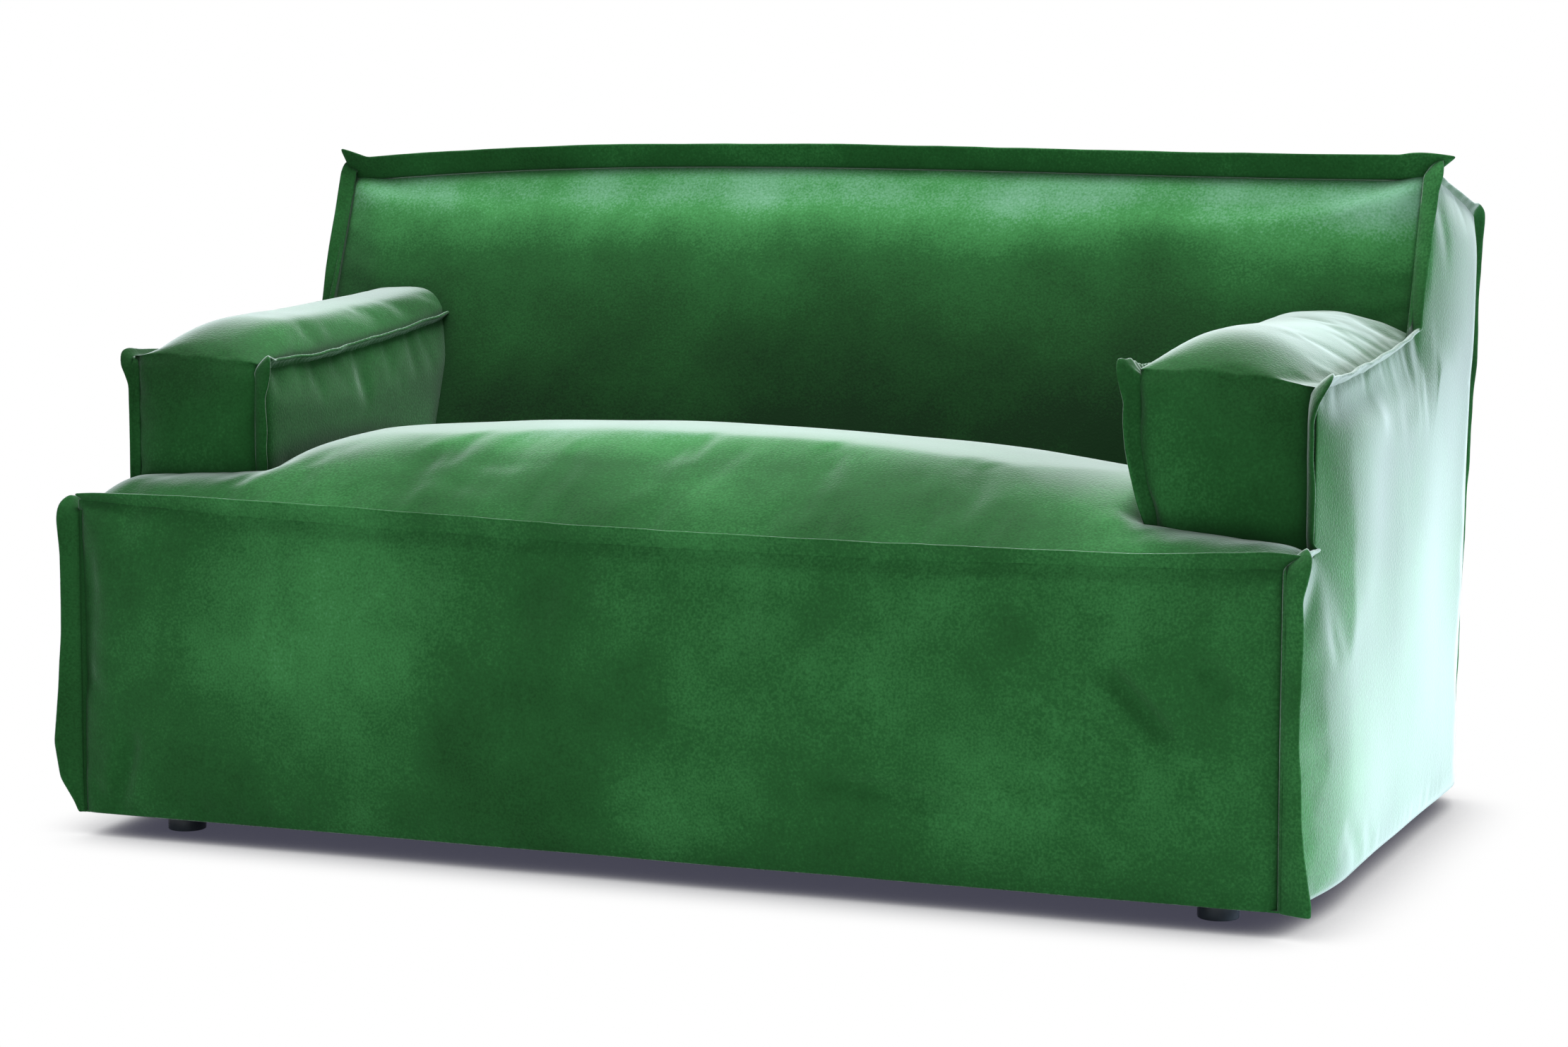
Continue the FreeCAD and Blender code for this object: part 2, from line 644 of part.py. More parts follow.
def springs():
    start, end = (rail_front + rail_back) / 2, seat_rail_d + RAIL_T / 2
    pitch = (end - start) / (SPRING_RUNS - 1)
    radius = pitch / 2
    half_run = SPRING_W / 2 - WIRE_R - radius
    edges = []
    for i in range(SPRING_RUNS):
        d, side = start + i * pitch, 1 if i % 2 == 0 else -1
        edges.append(Part.LineSegment(point(-side * half_run, d, wire_z), point(side * half_run, d, wire_z)))
        if i < SPRING_RUNS - 1:
            bend = [(half_run, d), (half_run + radius, d + radius), (half_run, d + pitch)]
            edges.append(Part.Arc(*(point(side * x, depth, wire_z) for x, depth in bend)))
    path = Part.Wire([edge.toShape() for edge in edges])
    section = Part.Wire(Part.makeCircle(WIRE_R, point(-half_run, start, wire_z), FreeCAD.Vector(1, 0, 0)))
    wire = path.makePipeShell([section], True, False)
    centres = [(i - (SPRING_COUNT - 1) / 2) * SPRING_PITCH for i in range(SPRING_COUNT)]
    add_group("seat_springs", [wire.translated(FreeCAD.Vector(x, 0, 0)) for x in centres])

    clips = []
    hold = WIRE_R + FIT
    for d, mouth in ((start, 1), (end, -1)):
        outside = block(-CLIP_W / 2, CLIP_W / 2, d - CLIP_D / 2, d + CLIP_D / 2, rail_top, felt_z - FIT)
        reach = sorted((d - mouth * hold, d + mouth * CLIP_D))
        slot = block(-CLIP_W, CLIP_W, *reach, wire_z - WIRE_R, felt_z)
        clips += [outside.cut(slot).translated(FreeCAD.Vector(x, 0, 0)) for x in centres]
    add_group("spring_clips", [only_solid(clip) for clip in clips])
    felt_x = board_x - FIT
    add("seat_felt", block(-felt_x, felt_x, rail_front, seat_rail_d, felt_z, felt_z + FELT_T))


def back_straps():
    front = edge_line(BACK, BACK_FOAM_T - STRAP_T)
    low = deck_z + FIT
    high = meet(web_line, top_line)[1] - BOARD_T
    corners = [meet(line, level(z)) for line, z in ((front, low), (front, high), (web_line, high), (web_line, low))]
    pitch = 2 * (arm_in - STRAP_W) / (STRAP_COUNT - 1)
    centres = [(i - (STRAP_COUNT - 1) / 2) * pitch for i in range(STRAP_COUNT)]
    add_group("back_webbing", [plate(corners, x - STRAP_W / 2, x + STRAP_W / 2) for x in centres])


def underside():
    rear = rear_d(frame_z)
    sheet = block(-frame_out, frame_out, rail_front, rear, dust_z, frame_z)
    for _, x, d in foot_places():
        sheet = sheet.cut(Part.makeCylinder(FOOT_R + DUST_ROOM, frame_z, point(x, d, 0.0)))
    add("dust_cover", sheet)

    def strips(inset_by, width, z0, z1):
        near, far = COVER_T + inset_by, BODY_DEPTH - REAR_TUCK - COVER_T - inset_by
        side = cover_in - inset_by
        row = [
            block(-side, side, near, near + width, z0, z1),
            block(-side, side, far - width, far, z0, z1),
        ]
        for x in (-side, side - width):
            row.append(block(x, x + width, near + width, far - width, z0, z1))
        return row

    add_group("hem_flaps", strips(FIT, HEM_W, HEM_Z, HEM_Z + HEM_T))
    tape_z = HEM_Z + HEM_T + FIT
    add_group("hem_tape", strips(HEM_W - TAPE_W, TAPE_W, tape_z, tape_z + TAPE_T))


def main():
    cover_panels()
    arm_covers()
    seam_lips()
    filling()
    frame()
    arm_boards()
    corner_blocks_and_nuts()
    feet()
    springs()
    back_straps()
    underside()
    os.makedirs("parts", exist_ok=True)
    for name, shape in nodes.items():
        shape.exportStep(f"parts/{name}.step")
        print(name, len(shape.Solids), "solids", round(shape.Volume / 1000), "cm3", "" if shape.isValid() else "INVALID")


main()
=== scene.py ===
# %% [markdown]
# # A velvet loveseat, dressed piece by piece
# The sofa's frame, springs, foam and feet come from a measured model, at their real size. This lesson
# makes what the eye sees of it: a loose green velvet cover, filled out by the foam under it, with seams
# that stand up as flat lips. Everything is in metres, +Z is up, and the sofa's front faces -Y.

# %% The measured model
import json
import math

import bmesh
import bpy
from mathutils import Matrix, Vector, noise


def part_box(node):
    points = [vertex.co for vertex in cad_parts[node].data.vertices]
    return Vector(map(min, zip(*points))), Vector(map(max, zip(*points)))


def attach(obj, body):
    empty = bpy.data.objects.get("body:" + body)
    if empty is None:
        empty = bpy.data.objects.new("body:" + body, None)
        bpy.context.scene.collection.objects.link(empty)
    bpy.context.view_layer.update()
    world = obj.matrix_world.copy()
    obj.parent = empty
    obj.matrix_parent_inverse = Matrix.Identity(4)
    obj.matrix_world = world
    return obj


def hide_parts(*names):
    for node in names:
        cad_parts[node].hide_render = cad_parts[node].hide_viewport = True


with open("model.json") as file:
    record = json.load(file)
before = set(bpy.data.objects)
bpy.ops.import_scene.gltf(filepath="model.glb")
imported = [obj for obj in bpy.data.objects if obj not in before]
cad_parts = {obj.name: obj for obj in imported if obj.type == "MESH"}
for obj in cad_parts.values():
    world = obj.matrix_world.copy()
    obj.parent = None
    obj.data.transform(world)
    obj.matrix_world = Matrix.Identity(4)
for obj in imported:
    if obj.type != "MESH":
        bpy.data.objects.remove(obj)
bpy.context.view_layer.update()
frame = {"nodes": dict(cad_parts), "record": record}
scene = bpy.context.scene
SOFA = "sofa"  # the body that everything but the feet rides on

# %% [markdown]
# ## The camera
# The picture that this sofa follows was taken with a long lens, from a little to the right of the front
# and from just above the back. Those numbers were worked out from the sofa's corners in the picture. A
# camera's matrix holds its own right, up and backward directions as columns, which is why it is built
# here from three turns.

# %% Camera
CAMERA_PLACE = Vector((1.6534, -4.1371, 0.8438))
CAMERA_YAW, CAMERA_PITCH, CAMERA_ROLL = (math.radians(a) for a in (22.049, 5.95, 0.152))
CAMERA_LENS_MM, SENSOR_MM = 78.98, 36


def make_camera():
    level_forward = Vector((-math.sin(CAMERA_YAW), math.cos(CAMERA_YAW), 0))
    level_right = Vector((math.cos(CAMERA_YAW), math.sin(CAMERA_YAW), 0))
    upright = Vector((0, 0, 1))
    forward = level_forward * math.cos(CAMERA_PITCH) - upright * math.sin(CAMERA_PITCH)
    up = upright * math.cos(CAMERA_PITCH) + level_forward * math.sin(CAMERA_PITCH)
    right_turned = level_right * math.cos(CAMERA_ROLL) + up * math.sin(CAMERA_ROLL)
    up_turned = up * math.cos(CAMERA_ROLL) - level_right * math.sin(CAMERA_ROLL)
    data = bpy.data.cameras.new("camera")
    data.lens = CAMERA_LENS_MM
    data.sensor_width = SENSOR_MM
    data.sensor_fit = "HORIZONTAL"
    camera = bpy.data.objects.new("camera", data)
    turn = Matrix((right_turned, up_turned, -forward)).transposed()
    camera.matrix_world = Matrix.Translation(CAMERA_PLACE) @ turn.to_4x4()
    scene.collection.objects.link(camera)
    scene.camera = camera


make_camera()
print("camera at", [round(v, 2) for v in scene.camera.location])

# %% [markdown]
# ## Nodes and colours
# Materials are networks of nodes. One small function adds a node, sets its values and links its inputs,
# so that each material below reads as a short list. Colours are written as the hex values that a painter
# would pick from the picture, and turned to the linear values that the renderer counts in.

# %% Colour and node helpers
def linear(hex_colour):
    """An sRGB hex colour as linear red, green, blue and alpha."""
    parts = [int(hex_colour[i:i + 2], 16) / 255 for i in (1, 3, 5)]
    return tuple(v / 12.92 if v <= 0.04045 else ((v + 0.055) / 1.055) ** 2.4 for v in parts) + (1.0,)


def add_node(tree, kind, settings=(), links=()):
    """Adds one node. A setting is the name of a property or an input and its value.

    A link is an input and the output that feeds it.
    """
    made = tree.nodes.new("ShaderNode" + kind)
    for name, value in dict(settings).items():
        if isinstance(name, str) and hasattr(made, name):
            setattr(made, name, value)
        else:
            made.inputs[name].default_value = value
    for name, output in dict(links).items():
        tree.links.new(output, made.inputs[name])
    return made


def set_ramp(node, stops):
    """Gives a colour ramp its stops, each a place and a colour."""
    elements = node.color_ramp.elements
    while len(elements) < len(stops):
        elements.new(0.5)
    for element, (place, colour) in zip(elements, stops):
        element.position, element.color = place, colour


def new_material(name):
    """An empty material, its node tree, its Principled shader and its Object coordinates."""
    material = bpy.data.materials.new(name)
    material.use_nodes = True
    tree = material.node_tree
    tree.nodes.clear()
    shader = add_node(tree, "BsdfPrincipled")
    add_node(tree, "OutputMaterial", links={"Surface": shader.outputs["BSDF"]})
    place = add_node(tree, "TexCoord").outputs["Object"]
    return material, tree, shader, place


def per_size(millimetres):
    """The scale of a noise whose grains are about this large."""
    return 1000 / millimetres


# %% [markdown]
# ## Studio
# The sofa stands on a white ground with four soft lamps: a small one low on its right, one behind it, one
# overhead and a weak one in front. The light from the right, with the velvet's painted sheen, is what makes
# that side so pale. A grid on a real lamp narrows its beam, and the lamp's spread does so here, which
# leaves the arm's top darker than the side under it.

# %% Lamps and world
WHITE = (1, 1, 1, 1)
SIDE_SPREAD = math.radians(80)  # a grid on the side lamp keeps its light off the arm
LAMPS = {  # place, target, size of the square, power in watts and colour
    "side_lamp": ((2.2, 0.30, 0.40), (0.75, 0.0, 0.02), 0.7, 9.4, "#eaf2ff"),
    "rear_lamp": ((-0.2, 3.4, 2.8), (0.0, 0.0, 0.5), 2.0, 105.0, "#ffffff"),
    "top_lamp": ((0.0, 0.35, 3.3), (0.0, 0.0, 0.4), 1.8, 108.0, "#ffffff"),
    "front_lamp": ((1.0, -5.0, 2.4), (0.2, 0.0, 0.3), 2.5, 62.0, "#ffffff"),
}
WORLD_LIGHT, WORLD_COLOUR = 0.14, "#f4f8ff"


def make_lamps():
    for name, (place, target, size, power, colour) in LAMPS.items():
        data = bpy.data.lights.new(name, "AREA")
        data.shape = "SQUARE"
        data.size = size
        data.energy = power
        data.color = linear(colour)[:3]
        lamp = bpy.data.objects.new(name, data)
        lamp.location = place
        lamp.rotation_euler = (Vector(target) - Vector(place)).to_track_quat("-Z", "Y").to_euler()
        scene.collection.objects.link(lamp)
    bpy.data.lights["side_lamp"].spread = SIDE_SPREAD


def sees_background(tree):
    """1 for rays that show the background: the camera's, and those that gloss and glass pass on."""
    path = add_node(tree, "LightPath").outputs
    either = path["Is Camera Ray"]
    for ray in ("Is Glossy Ray", "Is Transmission Ray"):
        either = add_node(tree, "Math", {"operation": "MAXIMUM"}, {0: either, 1: path[ray]}).outputs[0]
    return either


def make_world():
    world = bpy.data.worlds.new("studio")
    scene.world = world
    world.use_nodes = True
    tree = world.node_tree
    tree.nodes.clear()
    light = add_node(tree, "Background", {"Color": linear(WORLD_COLOUR), "Strength": WORLD_LIGHT})
    white = add_node(tree, "Background", {"Color": WHITE, "Strength": 1.0})
    mixed = add_node(tree, "MixShader", links={
        0: sees_background(tree), 1: light.outputs[0], 2: white.outputs[0],
    })
    add_node(tree, "OutputWorld", links={"Surface": mixed.outputs[0]})


scene.view_settings.view_transform = "Standard"
make_lamps()
make_world()
print("studio:", len(LAMPS), "lamps")

# %% [markdown]
# ## Floor
# The white is in the floor's own material: it glows white to the camera, and an ambient occlusion node,
# which measures how closely something stands over a point, darkens it to a soft contact shadow. A bright
# lamp on a white floor would do it too, but it would also throw light at the sofa.

# %% Floor
FLOOR_REACH = 40.0
PAPER_COLOUR, SHADOW_COLOUR = "#f2f2f4", "#454552"
SHADOW_REACH = 0.17  # how far up the floor looks for what stands over it
SHADOW_FROM, SHADOW_TO = 0.05, 0.86  # openness where the shadow is full, and where it ends


def make_floor():
    bm = bmesh.new()
    bmesh.ops.create_grid(bm, x_segments=1, y_segments=1, size=FLOOR_REACH)
    mesh = bpy.data.meshes.new("floor")
    bm.to_mesh(mesh)
    bm.free()
    floor = bpy.data.objects.new("floor", mesh)
    scene.collection.objects.link(floor)
    material = bpy.data.materials.new("white_paper")
    material.use_nodes = True
    tree = material.node_tree
    tree.nodes.clear()
    paper = add_node(tree, "BsdfDiffuse", {"Color": linear(PAPER_COLOUR)})
    open_sky = add_node(tree, "AmbientOcclusion", {"samples": 24, "Distance": SHADOW_REACH})
    shade = add_node(
        tree, "MapRange",
        {"interpolation_type": "SMOOTHSTEP", "From Min": SHADOW_FROM, "From Max": SHADOW_TO},
        {"Value": open_sky.outputs["AO"]},
    )
    colour = add_node(
        tree, "Mix", {"data_type": "RGBA", 6: linear(SHADOW_COLOUR), 7: WHITE}, {0: shade.outputs[0]}
    )
    shown = add_node(tree, "Emission", {"Strength": 1.0}, {"Color": colour.outputs[2]})
    mixed = add_node(tree, "MixShader", links={
        0: sees_background(tree), 1: paper.outputs[0], 2: shown.outputs[0],
    })
    add_node(tree, "OutputMaterial", links={"Surface": mixed.outputs[0]})
    mesh.materials.append(material)


make_floor()
print("floor:", 2 * FLOOR_REACH, "m across")

# %% [markdown]
# ## Velvet
# Cotton velvet is a woven ground with a short upright pile. Seen straight on it is dark, because light
# sinks between the fibres; seen along the surface only the fibre tips show, and they are pale. That is
# the sheen on rounded edges and on every face that turns away. Principled's own sheen gives part of it,
# and a Layer Weight node paints the rest into the base colour as a painted sheen, pale wherever a face
# turns away from the view. Where a hand has brushed the pile it lies another way, so the green is cloudy
# in patches a few hands wide. The pile is about half a millimetre, too fine to show here, so its speckle
# is drawn at 3 mm. Light and shade are painted in by height as well: the seat's crown and the upper back
# are painted lighter, and the low back and the arms darker. So there are three velvets, which differ
# only in this painted light and shade. An ambient occlusion node paints shade into the seams and other
# hollows, and keeps the painted sheen out of them.

# %% Velvet material
GREENS_FOR_TONE_AND_PAINTED_LIGHT = (  # from dark to pale: the pile's random tone, shifted by the painted light and shade
    (0.16, "#0e3013"), (0.34, "#1c4d22"), (0.50, "#296732"), (0.67, "#44904f"), (0.86, "#7fb697"),
)
# The painted sheen's colour, the painted shade's green in seams, and the shader's own sheen tint
PAINTED_SHEEN_COLOUR, PAINTED_SEAM_SHADE, VELVET_SHEEN = "#e6f3f4", "#123a18", "#e0f6ec"
SEAM_SHADE_REACH = 0.030  # painted shade: how far the ambient occlusion looks for seams and hollows
SEAM_SHADE_FROM, SEAM_SHADE_TO = 0.35, 0.97  # openness where the painted shade is full, and where it ends
CLOUD_MM, NAP_MM, NAP_SHARE = 320.0, 3.0, 0.28
# Painted light and shade by height: a level above this one lightens the green, below it darkens it
UNPAINTED_LEVEL = 0.5
PAINTED_LIGHT_BY_HEIGHT = {  # painted light and shade by height: lighter above the unpainted level, darker below
    "cotton_velvet": ((0.45, 0.50), (0.57, 0.42), (0.70, 0.47), (0.90, 0.50)),
    "cotton_velvet_seat_painted_light": ((0.44, 0.46), (0.485, 0.50), (0.508, 0.66), (0.525, 0.80)),
    "cotton_velvet_back_painted_light_and_shade": ((0.50, 0.21), (0.62, 0.34), (0.72, 0.48), (0.80, 0.76), (0.90, 0.68)),
}
PAINTED_SHEEN_FROM, PAINTED_SHEEN_TO = 0.55, 1.02  # how far a face turns from the view before the painted sheen starts, and where it is full
# the painted sheen's largest share of the colour
PAINTED_SHEEN_MOST = 0.74


def make_velvet(name):
    material, tree, shader, place = new_material(name)
    cloud = add_node(
        tree, "TexNoise", {"Scale": per_size(CLOUD_MM), "Detail": 5.0, "Roughness": 0.58}, {"Vector": place}
    )
    nap = add_node(tree, "TexNoise", {"Scale": per_size(NAP_MM), "Detail": 2.0}, {"Vector": place})
    speckled = add_node(tree, "Mix", {0: NAP_SHARE}, {2: cloud.outputs["Fac"], 3: nap.outputs["Fac"]})
    height = add_node(tree, "SeparateXYZ", links={0: place})
    # Painted light and shade by height, added to the pile's random tone
    painted_light_ramp = add_node(tree, "ValToRGB", links={"Fac": height.outputs["Z"]})
    set_ramp(painted_light_ramp, [(z, (level, level, level, 1)) for z, level in PAINTED_LIGHT_BY_HEIGHT[name]])
    painted_light_shift = add_node(tree, "Math", {"operation": "SUBTRACT", 1: UNPAINTED_LEVEL}, {0: painted_light_ramp.outputs["Color"]})
    tone_and_painted_light = add_node(tree, "Math", {"operation": "ADD"}, {0: speckled.outputs[0], 1: painted_light_shift.outputs[0]})
    green = add_node(tree, "ValToRGB", links={"Fac": tone_and_painted_light.outputs[0]})
    set_ramp(green, [(stop, linear(colour)) for stop, colour in GREENS_FOR_TONE_AND_PAINTED_LIGHT])
    bump = add_node(tree, "Bump", {"Strength": 0.3, "Distance": 0.0012}, {"Height": nap.outputs["Fac"]})
    # Painted sheen: a Layer Weight node pales the colour where a face turns away from the view
    turned = add_node(tree, "LayerWeight", {"Blend": 0.5}, {"Normal": bump.outputs["Normal"]})
    painted_sheen = add_node(
        tree, "MapRange",
        {"interpolation_type": "SMOOTHSTEP", "From Min": PAINTED_SHEEN_FROM, "From Max": PAINTED_SHEEN_TO, "To Max": PAINTED_SHEEN_MOST},
        {"Value": turned.outputs["Facing"]},
    )
    # Painted shade: ambient occlusion darkens the green in seams and hollows and keeps the painted sheen out
    seam_shade_ao = add_node(tree, "AmbientOcclusion", {"samples": 8, "Distance": SEAM_SHADE_REACH})
    in_light = add_node(
        tree, "MapRange", {"From Min": SEAM_SHADE_FROM, "From Max": SEAM_SHADE_TO}, {"Value": seam_shade_ao.outputs["AO"]}
    )
    painted_sheen_out_of_seams = add_node(
        tree, "Math", {"operation": "MULTIPLY"}, {0: painted_sheen.outputs[0], 1: in_light.outputs[0]}
    )
    seam_shaded_green = add_node(
        tree, "Mix", {"data_type": "RGBA", 6: linear(PAINTED_SEAM_SHADE)},
        {0: in_light.outputs[0], 7: green.outputs["Color"]},
    )
    colour = add_node(
        tree, "Mix", {"data_type": "RGBA", 7: linear(PAINTED_SHEEN_COLOUR)},
        {0: painted_sheen_out_of_seams.outputs[0], 6: seam_shaded_green.outputs[2]},
    )
    tree.links.new(colour.outputs[2], shader.inputs["Base Color"])
    tree.links.new(bump.outputs["Normal"], shader.inputs["Normal"])
    for name, value in {
        "Roughness": 0.95, "Specular IOR Level": 0.15, "Sheen Weight": 0.45, "Sheen Roughness": 0.4,
        "Sheen Tint": linear(VELVET_SHEEN),
    }.items():
        shader.inputs[name].default_value = value
    return material


# Three copies of the velvet that differ only in their painted light and shade by height
velvet, seat_velvet_painted_light, back_velvet_painted_light_and_shade = (make_velvet(name) for name in PAINTED_LIGHT_BY_HEIGHT)
print("velvet:", len(velvet.node_tree.nodes), "nodes")

# %% [markdown]
# ## The outline in the side view
# Every piece of the cover ends at a seam, and most seams lie in the sofa's side outline. Its corners come
# from the measured model, so the velvet fits the frame under it. The seams of the real cover aren't quite
# level or even: the front seam sags and drops to the right, and the back's top seam is highest left of
# the middle.

# %% Places read from the measured model
side_low, side_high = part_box("side_panel_right")
front_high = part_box("front_panel")[1]
arm_low, arm_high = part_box("arm_front_panel_right")
rear_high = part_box("rear_panel")[1]
HALF = side_high.x
INNER = front_high.x
HEM = side_low.z
FRONT_Y = side_low.y
ARM_IN = arm_low.x
ARM_FRONT_Y = arm_low.y
SEAM_Z = front_high.z
ARM_FRONT_Z = arm_high.z + 0.0033  # over the cover and its clearance
ARM_BACK_Y, ARM_BACK_Z = 0.127, 0.633
BACK_TOP_Y, BACK_TOP_Z = 0.205, 0.840
REAR_TOP_Y, REAR_TOP_Z = rear_high.y, rear_high.z
REAR_TUCK = 0.080  # how far the rear leans in towards its hem
REAR_HEM_Y = REAR_TOP_Y - REAR_TUCK
RAKE = (BACK_TOP_Y - ARM_BACK_Y) / (BACK_TOP_Z - ARM_BACK_Z)
ARM_SAG = 0.008  # how far an arm's seam hangs below a straight line
FRONT_SAG, FRONT_TILT = 0.016, 0.008  # how far the front seam hangs, and drops to the right
BACK_DROP, BACK_ARCH = 0.003, 0.017  # of the back's top seam at its ends, and in the middle
BACK_TILT, BACK_LEAN = 0.004, 0.0145  # its rise to the right end, and to the left of the middle
GRID = 0.012  # spacing of the vertices on soft pieces


def mix(a, b, share):
    return a + (b - a) * share


def dome(share, power=2.0):
    """1 half-way between 0 and 1, and 0 at both ends. A higher power is flatter on top."""
    return 1 - abs(2 * share - 1) ** power


def rise(share):
    """0 at 0 and 1 from 1 on, flattening towards the top."""
    share = max(0.0, min(1.0, share))
    return share * (2 - share)


def front_seam_z(x):
    across = x / HALF
    return SEAM_Z - FRONT_SAG * (1 - across ** 2) - FRONT_TILT * across


def back_seam_z(x):
    across = x / HALF
    arch = 1 - across ** 2
    return BACK_TOP_Z - BACK_DROP + BACK_ARCH * arch + (BACK_TILT - BACK_LEAN * arch) * across


def back_plane_y(z):
    return BACK_TOP_Y - (BACK_TOP_Z - z) * RAKE


def arm_seam_z(y):
    share = (y - ARM_FRONT_Y) / (ARM_BACK_Y - ARM_FRONT_Y)
    return mix(ARM_FRONT_Z, ARM_BACK_Z, share) - ARM_SAG * dome(min(1.0, share))


def rear_y(z):
    return mix(REAR_HEM_Y, REAR_TOP_Y, (z - HEM) / (REAR_TOP_Z - HEM))


print("body", round(2 * HALF, 3), "m wide, arms", round(HALF - ARM_IN, 3), "m")

# %% [markdown]
# ## Padded forms
# Each panel of the cover is modelled with the filling behind it as one closed soft form. It starts as a
# flat grid with its lines where the seams are; the grid gets a second face behind it, and each vertex
# then moves to its place on the piece. The seam vertices are pinned and a short cloth simulation blows
# the rest up a little, as the foam does, which rounds the panel between its seams and puckers it along
# them.

# %% Helpers for padded forms
SEAM_STEPS = (0.0, 0.004, 0.009, 0.016, 0.026)  # the grid is finer beside a seam
SEAM_CREASE = 0.8


def stations(stops, step=GRID):
    """Places along a line that include each stop, about one step apart."""
    places = [stops[0]]
    for start, end in zip(stops, stops[1:]):
        count = max(1, round((end - start) / step))
        places += [mix(start, end, (i + 1) / count) for i in range(count)]
    return places


def seamed(stops, step=GRID):
    """Stations that stand closer together beside the first and the last stop, where the seams are."""
    first = [stops[0] + gap for gap in SEAM_STEPS]
    last = [stops[-1] - gap for gap in reversed(SEAM_STEPS)]
    return first[:-1] + stations([first[-1], *stops[1:-1], last[0]], step) + last[1:]


def slab(across, along, outer, inner, keep=None):
    """A closed form from a grid, and the numbers of its held vertices.

    Outer and inner place the vertices of its two faces, and keep says which faces of the grid stay.
    """
    bm = bmesh.new()
    columns, rows = len(across) - 1, len(along) - 1
    bmesh.ops.create_grid(bm, x_segments=columns, y_segments=rows, size=0.5)
    for vert in bm.verts:
        vert.co.x = across[round((vert.co.x + 0.5) * columns)]
        vert.co.y = along[round((vert.co.y + 0.5) * rows)]
    if keep:
        spare = [face for face in bm.faces if not keep(*face.calc_center_median()[:2])]
        bmesh.ops.delete(bm, geom=spare, context="FACES")
    made = bmesh.ops.extrude_face_region(bm, geom=bm.faces[:])["geom"]
    behind = {item for item in made if isinstance(item, bmesh.types.BMVert)}
    first_behind = len(bm.verts) - len(behind)
    put_in_order(bm, behind)
    seam = {vert for vert in bm.verts if vert.index < first_behind
            and any(edge.other_vert(vert).index >= first_behind for edge in vert.link_edges)}
    crease_seams(bm, seam)
    for vert in bm.verts:
        spot = outer if vert.index < first_behind else inner
        vert.co = spot(vert.co.x, vert.co.y)
    bmesh.ops.recalc_face_normals(bm, faces=bm.faces[:])
    held = [vert.index for vert in bm.verts if vert.index >= first_behind or vert in seam]
    return bm, held


def put_in_order(bm, behind):
    """Numbers a slab's vertices, edges and faces by place, its front first.

    Extruding leaves them in no fixed order, and the cloth simulation goes by their numbers.
    """
    places = sorted(bm.verts, key=lambda vert: (vert in behind, vert.co.x, vert.co.y))
    for number, vert in enumerate(places):
        vert.index = number
    bm.verts.sort()

    def rank(item):
        numbers = [vert.index for vert in item.verts]
        return len(places) * min(numbers) + max(numbers)

    bm.edges.sort(key=rank)
    bm.faces.sort(key=rank)
    for items in (bm.verts, bm.edges, bm.faces):
        items.index_update()


def crease_seams(bm, seam):
    """Keeps the edges between seam vertices crisp when the piece is rounded."""
    crease = bm.edges.layers.float.new("crease_edge")
    for edge in bm.edges:
        if all(vert in seam for vert in edge.verts):
            edge[crease] = SEAM_CREASE


def make_piece(name, bm, material):
    """An object from a bmesh, smooth shaded, riding on the sofa."""
    for face in bm.faces:
        face.smooth = True
    mesh = bpy.data.meshes.new(name)
    bm.to_mesh(mesh)
    bm.free()
    mesh.materials.append(material)
    piece = bpy.data.objects.new(name, mesh)
    scene.collection.objects.link(piece)
    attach(piece, SOFA)
    return piece


def soften(piece):
    rounding = piece.modifiers.new("rounding", "SUBSURF")
    rounding.levels = rounding.render_levels = 1


SIM_FRAMES = 16


def fill_out(piece, held, pressure, slack, cap):
    """Blows a closed form up a little with its held vertices pinned, and keeps each move under the cap."""
    group = piece.vertex_groups.new(name="held")
    group.add(held, 1.0, "REPLACE")
    modifier = piece.modifiers.new("cloth", "CLOTH")
    cloth = modifier.settings
    cloth.vertex_group_mass = "held"
    cloth.quality = 5
    cloth.mass = 0.3
    cloth.tension_stiffness = cloth.compression_stiffness = 15
    cloth.shear_stiffness = 5
    cloth.bending_stiffness = 0.5
    cloth.use_pressure = True
    cloth.uniform_pressure_force = pressure
    cloth.shrink_min = -slack
    cloth.effector_weights.gravity = 0
    modifier.collision_settings.use_collision = False
    modifier.point_cache.frame_end = SIM_FRAMES
    for number in range(1, SIM_FRAMES + 1):
        scene.frame_set(number)
    shaped = piece.evaluated_get(bpy.context.evaluated_depsgraph_get()).data
    moves = [shaped.vertices[i].co - vert.co for i, vert in enumerate(piece.data.vertices)]
    for vert, move in zip(piece.data.vertices, moves):
        vert.co += move * min(1.0, cap / max(move.length, 1e-9))
    piece.modifiers.remove(modifier)
    piece.vertex_groups.remove(group)
    scene.frame_set(1)
    print(piece.name, "filled out by up to", round(1000 * max(m.length for m in moves), 1), "mm")


def near(distance, place, reach):
    """1 at a place along a line, falling to 0 over its reach."""
    return math.exp(-((distance - place) / reach) ** 2)


def peak(distance, place, reach):
    """1 at a place along a line, falling straight to 0 at its reach."""
    return max(0.0, 1 - abs(distance - place) / reach)


def ripple(place, size, seed):
    """A gentle unevenness between -1 and 1, the same each time."""
    return noise.noise(Vector(place) / size + Vector((seed, 2 * seed, 3 * seed)))


FOLD_REACH = 0.08  # how far in front of and behind its line a fold still presses
FOLD_SIDES, FOLD_OVERRUN = 4, 0.2  # how many widths beside its line it is felt, and past its ends
FOLD_FULL, FOLD_FADE = 0.55, 0.3  # share of its half length at full depth, and over which it fades
RIDGE, RIDGE_AT = 0.3, 1.8  # height of the ridge beside the groove, and its place in widths


